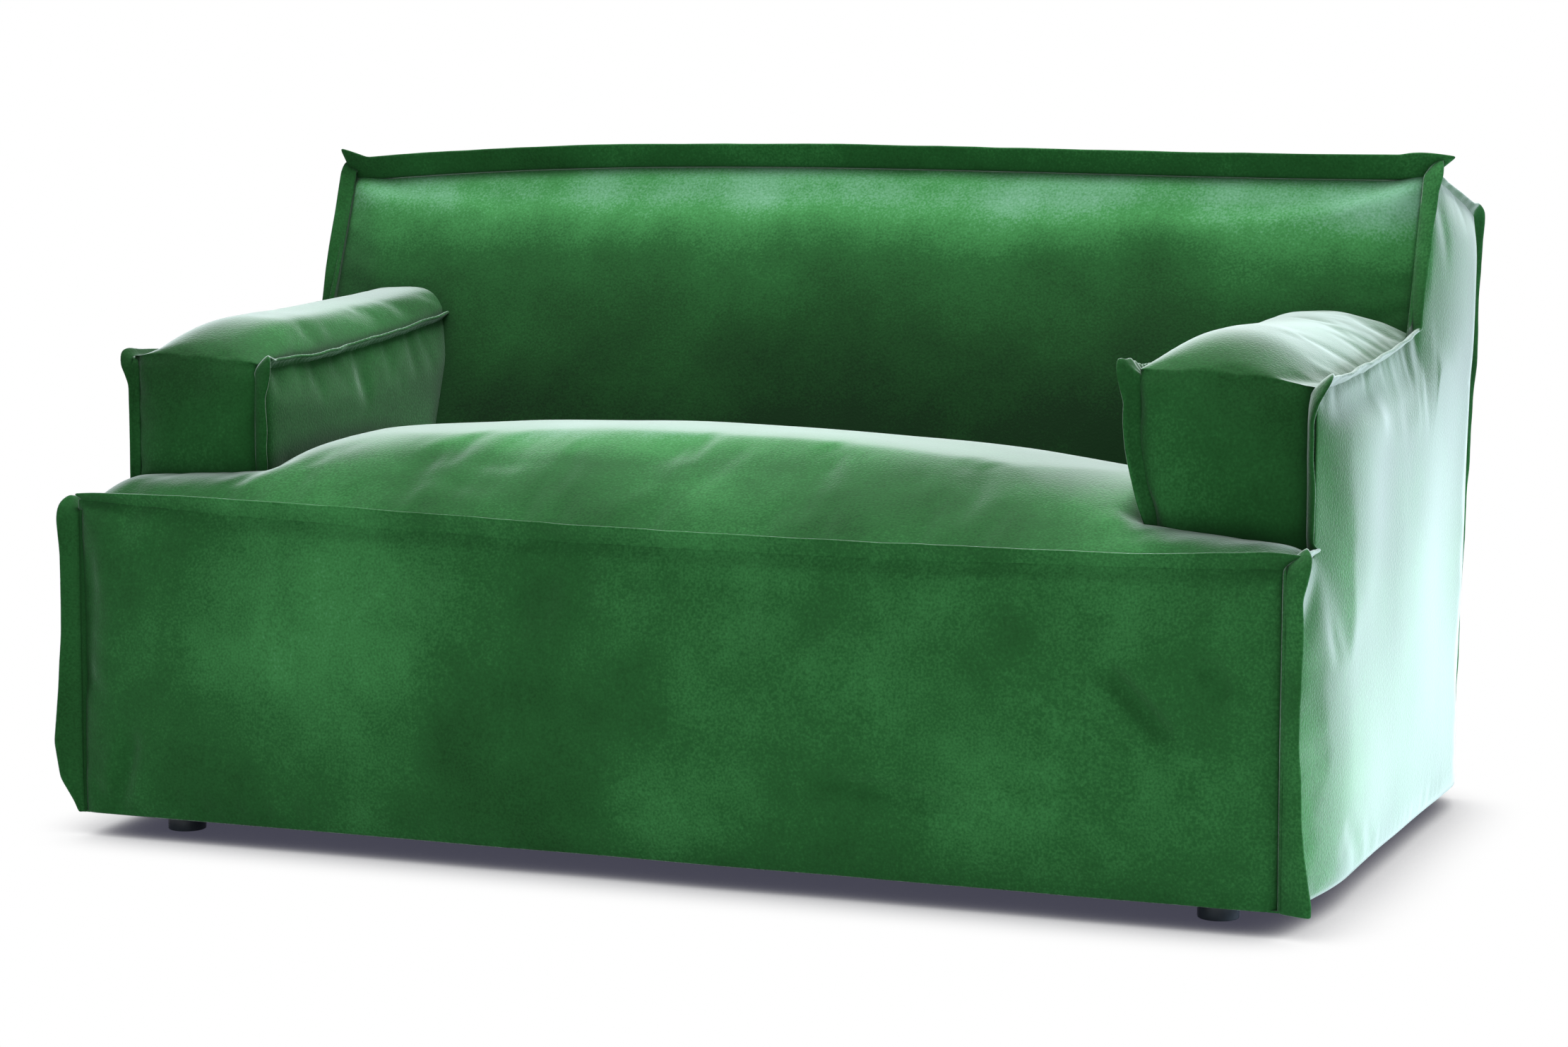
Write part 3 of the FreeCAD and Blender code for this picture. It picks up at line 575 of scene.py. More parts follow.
def fold(piece, start, end, width, depth, way):
    """Presses a soft fold into a piece along a line: a groove with a low ridge beside it."""
    start = Vector(start)
    run = Vector(end) - start
    beside = run.cross(way).normalized()
    for vert in piece.data.vertices:
        offset = vert.co - start
        share = offset.dot(run) / run.length_squared
        side = offset.dot(beside) / width
        if (abs(share - 0.5) < 0.5 + FOLD_OVERRUN and abs(side) < FOLD_SIDES
                and abs(offset.dot(way)) < FOLD_REACH):
            ends = near(max(FOLD_FULL, abs(2 * share - 1)), FOLD_FULL, FOLD_FADE)
            groove = RIDGE * near(side, RIDGE_AT, 1) - near(side, 0, 1)
            vert.co += way * (depth * groove * ends)


def make_soft(name, bm, held, material, nodes, pressure, cap, slack=0.006, folds=(), way=None):
    """Makes a padded piece of a closed form: fills it out, presses its folds in and rounds it."""
    piece = make_piece(name, bm, material)
    fill_out(piece, held, pressure, slack, cap)
    for start, end, width, depth in folds:
        fold(piece, start, end, width, depth, way)
    soften(piece)
    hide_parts(*nodes)
    print(name, len(piece.data.vertices), "vertices")


# %% [markdown]
# ## Front
# The front is one wide panel over a thin pad. It swells a little between its seams, and along them it
# dips into a ditch, because the cloth turns in there to meet the lip. The brushed marks and short folds
# of the picture are pressed in afterwards as soft grooves.

# %% Front cover
FRONT_SWELL = 0.008
FRONT_LEFT, FRONT_RIGHT = -INNER - 0.006, INNER - 0.002  # the left seam lies further out
FRONT_H = SEAM_Z - HEM
DITCH, DITCH_W = 0.012, 0.011
MITRE = 0.026  # how far a piece's hidden face stays back from its edges
LAP = 0.004  # how far a panel's edge reaches past its seam
FRONT_STEP, FRONT_DEPTH = 0.010, 0.028
FRONT_WAVE, PUCKER, PUCKER_W = 0.003, 0.0022, 0.025  # the puckers lie in a band along the lip
FRONT_FADE = 0.03  # over which the waves die out towards a seam


def ditch(distance):
    """How far a panel lies back at this distance from its seam."""
    return DITCH * math.exp(-(distance / DITCH_W) ** 2)


def front_outer(x, up):
    share = up / FRONT_H
    top = front_seam_z(x) + LAP
    z = mix(HEM, top, share)
    edge = min(FRONT_RIGHT - x, x - FRONT_LEFT, top - z)
    swell = FRONT_SWELL * dome((x - FRONT_LEFT) / (FRONT_RIGHT - FRONT_LEFT), 4) * dome(share, 2.5)
    pucker = PUCKER * ripple((x, 0, 0.4 * z), 0.03, seed=4) * near(top - z, PUCKER_W, PUCKER_W)
    uneven = pucker + FRONT_WAVE * ripple((x, 0, z), 0.16, seed=3)
    return Vector((x, FRONT_Y - swell + ditch(edge) + uneven * min(1, edge / FRONT_FADE), z))


def front_inner(x, up):
    inside = x * (INNER - MITRE) / INNER
    return Vector((inside, FRONT_Y + FRONT_DEPTH, mix(HEM + LAP, front_seam_z(x) - MITRE, up / FRONT_H)))


bm, held = slab(
    seamed((FRONT_LEFT, FRONT_RIGHT), FRONT_STEP),
    seamed((0.0, FRONT_H), FRONT_STEP),
    front_outer,
    front_inner,
)
FORWARD, UPWARD = Vector((0, -1, 0)), Vector((0, 0, 1))
FRONT_FOLDS = (  # start and end across and up, width and depth
    ((0.560, 0.299), (0.650, 0.206), 0.010, 0.014),
    ((0.669, 0.293), (0.701, 0.299), 0.009, 0.009),
    ((0.693, 0.268), (0.709, 0.288), 0.009, 0.009),
    ((0.220, 0.145), (0.426, 0.123), 0.010, 0.008),
    ((-0.690, 0.144), (-0.718, 0.034), 0.011, 0.010),
    ((-0.752, 0.380), (-0.764, 0.166), 0.010, 0.004),
)
on_front = [((x0, FRONT_Y, z0), (x1, FRONT_Y, z1), *size) for (x0, z0), (x1, z1), *size in FRONT_FOLDS]
make_soft(
    "front_cover", bm, held, velvet, ["front_panel", "front_pad"],
    pressure=1.2, cap=0.005, folds=on_front, way=FORWARD,
)

# %% [markdown]
# ## Seat
# The seat is a tight T: a stem between the arms and a bar that runs in front of them to the sides. It is
# strongly crowned, highest a little left of the middle and a third of the way back, and it rolls down
# quickly to the front seam and to the arms.

# %% Seat cushion
SEAT_CREST_X, SEAT_CREST_Y = -0.090, FRONT_Y + 0.330
SEAT_FRONT_Y = FRONT_Y + 0.018
SEAT_BACK_Y = ARM_BACK_Y - 0.040
SEAT_SIDE_RISE, SEAT_MIDDLE_RISE = 0.034, 0.098  # of the crest above the front seam, before it is filled out
SEAT_BACK_DROP = 0.050
SEAT_X = INNER - 0.008
SEAT_DEPTH = 0.040  # of its hidden face under the seam
SEAT_WAVE = 0.003
ROLLS = {  # how far the seat rolls down beside each neighbour, and over what width
    "arm": (0.010, 0.022), "back": (0.020, 0.040), "side": (0.005, 0.014), "arm front": (0.006, 0.016),
}
ROOM = 0.001  # between soft neighbours


def seat_outer(x, y):
    crown = 1 - ((x - SEAT_CREST_X) / HALF) ** 2
    crest = SEAM_Z + mix(SEAT_SIDE_RISE, SEAT_MIDDLE_RISE, crown)
    if y < SEAT_CREST_Y:
        share = (SEAT_CREST_Y - y) / (SEAT_CREST_Y - SEAT_FRONT_Y)
        z = mix(crest, front_seam_z(x), share ** 3)
    else:
        share = (y - SEAT_CREST_Y) / (SEAT_BACK_Y - SEAT_CREST_Y)
        z = crest - SEAT_BACK_DROP * share ** 2
    return Vector((x, y, z - seat_roll(x, y) + SEAT_WAVE * ripple((x, y, 0), 0.17, seed=5)))


def seat_roll(x, y):
    """How far the seat rolls down beside the arms, the back and the sides."""
    if y > ARM_FRONT_Y:
        gaps = {"arm": ARM_IN - abs(x), "back": SEAT_BACK_Y - y}
    else:
        corner = math.hypot(max(0.0, ARM_IN - abs(x)), ARM_FRONT_Y - y)
        gaps = {"side": SEAT_X - abs(x), "arm front": corner}
    return sum(ROLLS[kind][0] * near(gap, 0, ROLLS[kind][1]) for kind, gap in gaps.items())


def seat_inner(x, y):
    return Vector((x, y, SEAM_Z - SEAT_DEPTH))


def in_seat(x, y):
    return abs(x) < ARM_IN or y < ARM_FRONT_Y


bm, held = slab(
    seamed((-SEAT_X, -ARM_IN + ROOM, ARM_IN - ROOM, SEAT_X)),
    seamed((SEAT_FRONT_Y, ARM_FRONT_Y - ROOM, SEAT_BACK_Y)),
    seat_outer,
    seat_inner,
    in_seat,
)
SEAT_FOLDS = (  # start and end, width and depth
    ((-0.33, -0.40, 0.49), (-0.22, -0.42, 0.47), 0.012, 0.0018),
    ((-0.30, -0.36, 0.50), (-0.20, -0.37, 0.50), 0.012, 0.0014),
    ((0.02, -0.43, 0.46), (0.05, -0.30, 0.51), 0.014, 0.0018),
)
make_soft(
    "seat_cushion", bm, held, seat_velvet_painted_light, ["seat_panel", "seat_wadding", "seat_foam"],
    pressure=1.5, cap=0.008, folds=SEAT_FOLDS, way=UPWARD,
)

# %% [markdown]
# ## Back
# The inside back leans and swells a little. Over its top seam the cover turns flat and falls gently to
# the rear. Both panels belong to one long filling, so they are one soft form here, with a grid that bends
# over the seam.

# %% Back cushion
BACK_SWELL = 0.020
BACK_LOW_Z = 0.400
BACK_X = INNER - 0.006
BACK_H = BACK_TOP_Z - BACK_LOW_Z  # the grid runs this far up the inside back, and then on over the top panel
BACK_TOP_DEPTH = REAR_TOP_Y - BACK_TOP_Y
SEAM_TUCK = 0.7  # share of the ditch by which the top seam is pulled down and back
BACK_SIDE_TUCK = 0.5  # and by which its side seams are
BACK_FOOT = 0.25  # share of a half wave that the swell is already into at the seat
BACK_WAVE, BACK_FADE = 0.004, 0.06
TOP_SWELL, TOP_REAR = 0.010, 0.008  # of the top panel, and its gap to the rear
BACK_CORE = (0.05, 0.09, 0.16, 0.03)  # its hidden face: down, back, then back and down under the top


def back_outer(x, along):
    top = back_seam_z(x) - SEAM_TUCK * DITCH
    across = (x + BACK_X) / (2 * BACK_X)
    if along <= BACK_H:
        z = mix(BACK_LOW_Z, top, along / BACK_H)
        edge = min(BACK_X - abs(x), top - z)
        tuck = max(BACK_SIDE_TUCK * ditch(BACK_X - abs(x)), ditch(top - z))
        swell = BACK_SWELL * dome(across, 4) * math.sin(math.pi * mix(BACK_FOOT, 1, along / BACK_H))
        uneven = BACK_WAVE * ripple((x, 0, z), 0.2, seed=7) * min(1, edge / BACK_FADE)
        return Vector((x, back_plane_y(z) - swell + tuck + uneven, z))
    share = (along - BACK_H) / BACK_TOP_DEPTH
    y0, y1 = back_plane_y(top) + DITCH, REAR_TOP_Y - TOP_REAR
    edge = min(BACK_X - abs(x), share * (y1 - y0), (1 - share) * (y1 - y0))
    flat = mix(top, REAR_TOP_Z - SEAM_TUCK * DITCH, share) + SEAM_TUCK * DITCH
    swell = TOP_SWELL * dome(share, 3) * dome(across, 6)
    return Vector((x, mix(y0, y1, share), flat + swell - SEAM_TUCK * ditch(edge)))


def back_inner(x, along):
    down, behind, top_behind, top_down = BACK_CORE
    beyond = max(0.0, along - BACK_H) / BACK_TOP_DEPTH
    z = mix(BACK_LOW_Z, BACK_TOP_Z - down, min(1.0, along / BACK_H))
    return Vector((x, back_plane_y(z) + behind + top_behind * beyond, z - top_down * beyond))


bm, held = slab(
    seamed((-BACK_X, -ARM_IN, ARM_IN, BACK_X)),
    seamed((0.0, BACK_H)) + seamed((BACK_H, BACK_H + BACK_TOP_DEPTH))[1:],
    back_outer,
    back_inner,
)
make_soft(
    "back_cushion", bm, held, back_velvet_painted_light_and_shade, ["inside_back_panel", "back_top_panel", "back_foam"],
    pressure=1.2, cap=0.007,
)

# %% [markdown]
# ## Arms
# An arm is a padded block. Its top is a separate crowned panel between two lips; its front is plain, with
# only a thin seam where it meets the top. A cube cut into a fine grid keeps the three panels in one
# closed form, and the vertices are then pushed out by how far they lie from the seams.

# %% Arm cushions
ARM_CROWN = {1: (0.046, 0.55), -1: (0.044, 0.35)}  # height, and the share of it lost towards the back
ARM_DOME = {1: 2.2, -1: 3.6}  # a higher number is flatter on top and steeper at the seams
ARM_CROWN_AT = 0.45  # share across the arm where it is highest, from its inner side
ARM_FAR_Y = ARM_BACK_Y + 0.09
ARM_LOW_Z = 0.400
ARM_OUT = INNER - 0.005
ARM_STEP = 0.011
ARM_INNER_SHIFT = {1: -0.014, -1: 0.010}  # how far the inner seam swings at the front
ARM_INNER_LIFT = {1: (0.014, 0.0), -1: (-0.010, 0.008)}  # its height over the outer one, front and back
ARM_FOOT, ARM_FOOT_UP = {1: 0.026, -1: 0.0}, 0.075  # how far its inner front edge is rounded off at the seat
ARM_FOOT_REACH = 0.3
ARM_RISE, ARM_RISE_FROM = 0.22, 0.12  # share of its length over which the crown rises, and where it starts
ARM_FALL_FROM = 0.3  # share of its length from which the crown falls to the back
ARM_TUCK = {"front": 0.7, "inside": 0.6, "inside front": 0.4}  # shares of the ditch at its seams
ARM_FRONT_SWELL, ARM_INSIDE_SWELL, ARM_WAVE = 0.005, 0.006, 0.002
ARM_SEAM_DIP, ARM_SEAM_DIP_W = 0.003, 0.008  # of the plain seam at the top of the front
FLAT = 0.001


def cut_rows(bm, axis, places):
    """Cuts a mesh with planes square to an axis."""
    for place in places:
        spot, normal = Vector(), Vector()
        spot[axis] = place
        normal[axis] = 1
        bmesh.ops.bisect_plane(
            bm, geom=bm.verts[:] + bm.edges[:] + bm.faces[:], plane_co=spot, plane_no=normal, dist=1e-6
        )


def arm_inner_x(along, side, z=0.0):
    foot = ARM_FOOT[side] * near(z, SEAM_Z, ARM_FOOT_UP) * near(along, 0, ARM_FOOT_REACH)
    return ARM_IN + ARM_INNER_SHIFT[side] * (1 - along) ** 2 + foot


def arm_top_z(across, along, side):
    """Height of the arm's upper edge, which is tilted a little from the inner seam to the outer one."""
    lift = mix(*ARM_INNER_LIFT[side], along) * (1 - across)
    return arm_seam_z(mix(ARM_FRONT_Y, ARM_FAR_Y, along)) + lift


def arm_spot(across, along, up, side):
    """Places one point of the arm's block, from shares across it, along it and up it."""
    y = mix(ARM_FRONT_Y, ARM_FAR_Y, along)
    top = arm_top_z(across, along, side)
    width, length, height = ARM_OUT - ARM_IN, ARM_FAR_Y - ARM_FRONT_Y, top - ARM_LOW_Z
    z = mix(ARM_LOW_Z, top, up)
    x = mix(arm_inner_x(along, side, z), ARM_OUT, across)
    if up > 1 - FLAT:
        hump = dome(across ** (math.log(0.5) / math.log(ARM_CROWN_AT)), ARM_DOME[side])
        crown, lost = ARM_CROWN[side]
        fall = max(0, along - ARM_FALL_FROM) / (1 - ARM_FALL_FROM)
        z += crown * hump * mix(ARM_RISE_FROM, 1, rise(along / ARM_RISE)) * (1 - lost * fall)
    if along < FLAT:
        y += ARM_TUCK["front"] * ditch(min(across, 1 - across) * width)
        y -= ARM_FRONT_SWELL * dome(across, 4) * dome(up, 4)
        y += ARM_SEAM_DIP * near((1 - up) * height, 0, ARM_SEAM_DIP_W)
    if across < FLAT:
        x -= ARM_INSIDE_SWELL * dome(along, 4) * dome(up, 4)
        x += ARM_TUCK["inside"] * ditch((1 - up) * height) + ARM_TUCK["inside front"] * ditch(along * length)
    return Vector((side * x, y, z))


def make_arm(name, side):
    bm = bmesh.new()
    bmesh.ops.create_cube(bm, size=1.0)
    bmesh.ops.translate(bm, vec=(0.5, 0.5, 0.5), verts=bm.verts[:])
    sizes = (ARM_OUT - ARM_IN, ARM_FAR_Y - ARM_FRONT_Y, ARM_FRONT_Z - ARM_LOW_Z)
    for axis, size in enumerate(sizes):
        cut_rows(bm, axis, [place / size for place in seamed((0.0, size), ARM_STEP)[1:-1]])
    seams, held = set(), []
    bm.verts.index_update()
    for vert in bm.verts:
        across, along, up = vert.co
        vert.co = arm_spot(across, along, up, side)
        if up > 1 - FLAT:
            vert.co.z += ARM_WAVE * ripple(vert.co, 0.11, seed=11 + side) * dome(across)
        if sum(share < FLAT or share > 1 - FLAT for share in (across, along, up)) > 1:
            seams.add(vert)
        if vert in seams or up < FLAT or along > 1 - FLAT or across > 1 - FLAT:
            held.append(vert.index)
    crease_seams(bm, seams)
    bmesh.ops.recalc_face_normals(bm, faces=bm.faces[:])
    parts = ("arm_top_panel", "arm_front_panel", "arm_inside_panel", "arm_pad")
    make_soft(
        "arm_cushion_" + name, bm, held, velvet, [f"{part}_{name}" for part in parts],
        pressure=1.2, cap=0.005,
    )


SIDES = (("right", 1), ("left", -1))
for name, side in SIDES:
    make_arm(name, side)

# %% [markdown]
# ## Sides
# Each side of the cover is one piece of velvet in the outline of the sofa's side: low at the front, up at
# the arm's front, along the arm, and up the back in one sweep. The grid's columns run from the hem to
# that outline, so that no sliver is left at its edge.

# %% Side covers
SIDE_SWELL = 0.020
SWELL_FRONT, SWELL_REAR, SWELL_TOP = 0.240, 0.100, 0.070  # how far in from each edge it is rounded
SIDE_X, SIDE_INNER = HALF - 0.004, INNER - 0.009
SIDE_WAVE, EDGE_TUCK = 0.004, 0.2
SWEEP, SWEEP_W, SWEEP_Y = 0.0154, 0.030, ARM_BACK_Y - 0.008  # the curve between arm and back
OVER_SEAT, OVER_ARM = 0.10, 0.08  # heights over which the front edge steps back
REAR_LAP, REAR_LAP_W = 0.006, 0.012  # how far its rear edge reaches round under the lip
STEP_SHARE = (SEAM_Z - HEM) / (ARM_FRONT_Z - HEM)  # where the seat's seam meets the arm's front edge


def outline_z(y):
    """Height of the side's upper edge behind the arm's front."""
    arm = arm_seam_z(y)
    back = BACK_TOP_Z - (BACK_TOP_Y - y) / RAKE
    top = mix(BACK_TOP_Z, REAR_TOP_Z, (y - BACK_TOP_Y) / (REAR_TOP_Y - BACK_TOP_Y))
    return min(max(arm, back) + SWEEP * near(y, SWEEP_Y, SWEEP_W), top)


def side_flat(column, row):
    """Depth and height on the side, from the depth at the upper edge and the share of the height."""
    if column <= ARM_FRONT_Y:
        return column, mix(HEM, SEAM_Z, row / STEP_SHARE)
    foot = mix(ARM_FRONT_Y, REAR_HEM_Y, (column - ARM_FRONT_Y) / (REAR_TOP_Y - ARM_FRONT_Y))
    return mix(foot, column, row), mix(HEM, outline_z(column), row)


def side_front_y(z):
    """Depth of the side's front edge: the front panel's, then the arm's, then the inside back's."""
    over_seat = rise((z - SEAM_Z) / OVER_SEAT + 1)
    over_arm = rise((z - ARM_BACK_Z) / OVER_ARM + 1)
    return mix(mix(FRONT_Y, ARM_FRONT_Y, over_seat), back_plane_y(z), over_arm)


def in_side(column, row):
    return column > ARM_FRONT_Y or row < STEP_SHARE


def make_side(name, side):
    def outer(column, row):
        y, z = side_flat(column, row)
        top = outline_z(column) if column > ARM_FRONT_Y else SEAM_Z
        edge = max(0, min(y - FRONT_Y, rear_y(z) - y, top - z))
        inside = rise((y - side_front_y(z)) / SWELL_FRONT) * rise((rear_y(z) - y) / SWELL_REAR)
        inside *= rise((top - z) / SWELL_TOP)
        swell = inside * (SIDE_SWELL + SIDE_WAVE * ripple((0, y, z), 0.22, seed=17 + side))
        y += REAR_LAP * near(rear_y(z) - y, 0, REAR_LAP_W)
        return Vector((side * (SIDE_X + swell - EDGE_TUCK * ditch(edge)), y, z))

    def inner(column, row):
        y, z = side_flat(column, row)
        depth = REAR_TOP_Y - FRONT_Y
        held_in = mix(FRONT_Y + MITRE, REAR_TOP_Y - MITRE, (y - FRONT_Y) / depth)
        return Vector((side * SIDE_INNER, held_in, HEM + (z - HEM) * (1 - MITRE / BACK_TOP_Z)))

    columns = seamed((FRONT_Y, ARM_FRONT_Y, REAR_TOP_Y))
    rows = stations((0.0, STEP_SHARE), GRID / FRONT_H * STEP_SHARE)
    rows += seamed((STEP_SHARE, 1.0), GRID / FRONT_H)[1:]
    bm, held = slab(columns, rows, outer, inner, in_side)
    make_soft(
        "side_cover_" + name, bm, held, velvet, [f"side_panel_{name}", f"side_pad_{name}"],
        pressure=0.6, cap=0.003, slack=0.002,
    )


for name, side in SIDES:
    make_side(name, side)

# %% [markdown]
# ## Rear
# The rear panel is a plain rectangle over the frame's backing, with no foam under it, so it only swells a
# little. Its edges reach under the side lips, where the panels are sewn together.

# %% Rear cover
REAR_X = HALF - 0.005
REAR_SWELL, REAR_WAVE, REAR_DEPTH = 0.010, 0.004, 0.016
REAR_FADE = 0.06  # over which the waves die out towards a seam
REAR_H, REAR_STEP = REAR_TOP_Z - HEM, 0.016


def rear_outer(x, up):
    z = HEM + up
    edge = min(REAR_X - abs(x), REAR_H - up)
    swell = REAR_SWELL * dome((x + REAR_X) / (2 * REAR_X), 6) * dome(up / REAR_H, 3)
    uneven = REAR_WAVE * (0.5 + ripple((x, 0, z), 0.22, seed=23)) * min(1, edge / REAR_FADE)
    return Vector((x, rear_y(z) + swell - EDGE_TUCK * ditch(edge) + uneven, z))


def rear_inner(x, up):
    inside = x * (INNER - MITRE) / REAR_X
    z = HEM + up * (1 - MITRE / REAR_H)
    return Vector((inside, rear_y(z) - REAR_DEPTH, z))


bm, held = slab(
    seamed((-REAR_X, REAR_X), REAR_STEP), seamed((0.0, REAR_H), REAR_STEP), rear_outer, rear_inner
)
make_soft("rear_cover", bm, held, velvet, ["rear_panel"], pressure=0.8, cap=0.008)

# %% [markdown]
# ## Seam lips
# The cover's panels are sewn face to face with their edges left outside, so that each seam stands up as a
# flat lip about as wide as two fingers. A lip is a strip that follows its seam: a grid whose long side
# runs along the seam and whose short side stands out from it. It waves a little, curls at its free edge
# and comes to a point at the corners.

# %% Lip helper
LIP_T, LIP_CURL = 0.0045, 0.002
LIP_ROWS, LIP_STEP = 4, 0.006
ROOT = 0.007  # how deep a lip's sewn edge lies inside the cover
LONG_WAVE, SHORT_WAVE = 0.085, 0.033


def wave(distance, size, seed):
    return ripple((distance, 0.5, 0.5), size, seed)


def make_lip(name, length, seam, way, width, node, sway, seed, step=LIP_STEP):
    """A strip that stands out from its seam: a place, a direction and a width by distance along it."""
    bm = bmesh.new()
    count = round(length / step)
    bmesh.ops.create_grid(bm, x_segments=count, y_segments=LIP_ROWS, size=0.5)
    for vert in bm.verts:
        distance = (vert.co.x + 0.5) * length
        out = vert.co.y + 0.5
        stand = way(distance).normalized()
        along = seam(distance + step) - seam(distance - step)
        beside = stand.cross(along).normalized()
        lean = wave(distance, LONG_WAVE, seed) + 0.5 * wave(distance, SHORT_WAVE, seed + 1)
        lean = sway * lean * out + LIP_CURL * math.sin(math.pi * out)
        vert.co = seam(distance) + stand * mix(-ROOT, width(distance), out) + beside * lean
    bmesh.ops.recalc_face_normals(bm, faces=bm.faces[:])
    lip = make_piece(name, bm, velvet)
    thickness = lip.modifiers.new("two layers", "SOLIDIFY")
    thickness.thickness = LIP_T
    thickness.offset = 0
    soften(lip)
    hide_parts(node)
    print(name, round(length, 2), "m long")


# %% [markdown]
# ## Lips across the sofa
# The front lip stands up and leans a little forward, and the back lip stands in line with the inside
# back. Their widths are read from short tables, because the real ones aren't even: the front lip is
# narrow at its left end and at its right, and widest left of the middle.

# %% Front and back lips
EAR = 0.034  # reach of a corner's point along its seams
INSIDE_BACK = Vector((0, -1, RAKE)).normalized()
FRONT_LIP_W = (
    (-0.775, 0.010), (-0.600, 0.020), (-0.356, 0.024), (-0.157, 0.023), (0.347, 0.019),
    (0.600, 0.015), (0.775, 0.022),
)
BACK_LIP_W = ((-0.775, 0.038), (-0.745, 0.020), (0.0, 0.019), (0.735, 0.019), (0.775, 0.032))
BACK_EAR = {1: 1.5, -1: 0.35}  # how far the back lip's ends turn outwards
FRONT_LEAN, BACK_LIP_LEAN = 0.35, 0.4  # how far each lip leans forward
FRONT_RAISE, LIP_WAVE = 0.003, 0.001


def read(table, place):
    """A value from a table of places and values, in a straight line between them."""
    for (start, first), (end, last) in zip(table, table[1:]):
        if place <= end:
            return mix(first, last, max(0.0, place - start) / (end - start))
    return table[-1][1]


def ear_at(x):
    """Points outwards at both ends of a seam that runs across the sofa."""
    return Vector((math.copysign(peak(abs(x), HALF, EAR), x), 0, 0))


def front_seam_at(distance):
    x = distance - HALF
    return Vector((x, FRONT_Y + DITCH, front_seam_z(x) + FRONT_RAISE))


def front_way(distance):
    return FRONT_LEAN * FORWARD + UPWARD + ear_at(distance - HALF)


def front_width(distance):
    return read(FRONT_LIP_W, distance - HALF) + LIP_WAVE * wave(distance, 0.12, seed=31)


make_lip("front_seam_lip", 2 * HALF, front_seam_at, front_way, front_width, "front_lip", 0.003, 33)


def back_seam_at(distance):
    x = distance - HALF
    z = back_seam_z(x) - SEAM_TUCK * DITCH
    return Vector((x, back_plane_y(z) + DITCH, z))


def back_way(distance):
    x = distance - HALF
    return BACK_LIP_LEAN * INSIDE_BACK + UPWARD + BACK_EAR[1 if x > 0 else -1] * ear_at(x)


def back_width(distance):
    plain = SEAM_TUCK * DITCH + read(BACK_LIP_W, distance - HALF)
    return plain + LIP_WAVE * wave(distance, 0.15, seed=41)


make_lip("back_seam_lip", 2 * HALF, back_seam_at, back_way, back_width, "back_lip", 0.002, 43)

# %% [markdown]
# ## Lips round the sides
# One lip runs round each side of the sofa, from the front hem over seat, arm and back down to the rear
# hem. On each stretch it stands between the side and the panel that it is sewn to, so its direction
# changes at every corner, and it comes to a point at the outward ones. The tables give its width by
# corner number and share of the next stretch.

# %% Side lips
SIDE_CORNERS = [
    (FRONT_Y + 0.004, HEM - 0.004),
    (FRONT_Y + 0.004, SEAM_Z - 0.002),
    (ARM_FRONT_Y + 0.002, SEAM_Z - 0.002),
    (ARM_FRONT_Y + 0.002, ARM_FRONT_Z - 0.002),
    (ARM_BACK_Y, ARM_BACK_Z),
    (BACK_TOP_Y, BACK_TOP_Z),
    (REAR_TOP_Y - 0.003, REAR_TOP_Z - 0.004),
    (REAR_HEM_Y - 0.003, HEM - 0.004),
]
EARS = {1: {1: 0.010, 3: 0.010, 6: 0.006}, -1: {3: 0.006, 6: 0.008}}  # by side and corner number
ARM_STRETCH = 3  # the stretch that starts at corner 3
SIDE_WAYS = {  # outwards, backwards and upwards on each stretch
    1: ((1, -0.4, 0), (1, 0, 1), (0.6, -1, 0), (1, -0.07, 1), (1, -0.4, 0.15), (0.5, 0.2, 1), (1, 1, 0)),
    -1: ((1, -0.4, 0), (1, 0, 1), (1, -0.4, 0), (1, -0.07, 1), (1, -0.4, 0.15), (0.8, 0.2, 1), (1, 1, 0)),
}
SIDE_LIP_W = {
    1: (
        (0.0, 0.038), (0.05, 0.038), (0.15, 0.030), (0.3, 0.023), (0.5, 0.020), (0.7, 0.021), (1.0, 0.022),
        (2.0, 0.012), (2.8, 0.013), (3.0, 0.020), (3.15, 0.014), (4.0, 0.015), (4.3, 0.014), (4.85, 0.018),
        (5.0, 0.024), (5.2, 0.006), (6.0, 0.012), (6.1, 0.017), (6.35, 0.012), (6.5, 0.007), (7.0, 0.004),
    ),
    -1: (
        (0.0, 0.003), (0.04, 0.008), (0.12, 0.026), (0.24, 0.033), (0.4, 0.027), (0.6, 0.022), (0.86, 0.022),
        (1.0, 0.026), (2.0, 0.008), (2.8, 0.009), (3.0, 0.015), (3.15, 0.009), (4.0, 0.010), (4.3, 0.014),
        (5.0, 0.016), (5.3, 0.010), (6.0, 0.012), (6.1, 0.018), (7.0, 0.008),
    ),
}
SIDE_SEAM_X = {  # how far out the seam lies, by corner number and share as above
    1: ((0.0, 0.770), (1.9, 0.770), (2.1, 0.764), (2.9, 0.764), (3.1, 0.770), (7.0, 0.770)),
    -1: ((0.0, 0.776), (1.5, 0.776), (2.1, 0.765), (2.9, 0.765), (3.1, 0.770), (7.0, 0.770)),
}
CORNER_EASE = 0.009
SIDE_LIP_WAVE = 0.0015


def corner_distances():
    """How far along the side's seam each corner lies."""
    found = [0.0]
    for start, end in zip(SIDE_CORNERS, SIDE_CORNERS[1:]):
        found.append(found[-1] + math.dist(start, end))
    return found


CORNER_AT = corner_distances()


def on_stretch(distance):
    """Which stretch of the side's seam a place lies on, and its share of it."""
    distance = min(CORNER_AT[-1], max(0.0, distance))
    for i, (start, end) in enumerate(zip(CORNER_AT, CORNER_AT[1:])):
        if distance <= end:
            return i, (distance - start) / (end - start)


def eased(distance, value):
    """A value along the side's seam, averaged over a short stretch so that it turns its corners softly."""
    shifts = (-1.0, -0.5, 0.0, 0.5, 1.0)
    return sum((value(*on_stretch(distance + CORNER_EASE * s)) for s in shifts), Vector()) / len(shifts)


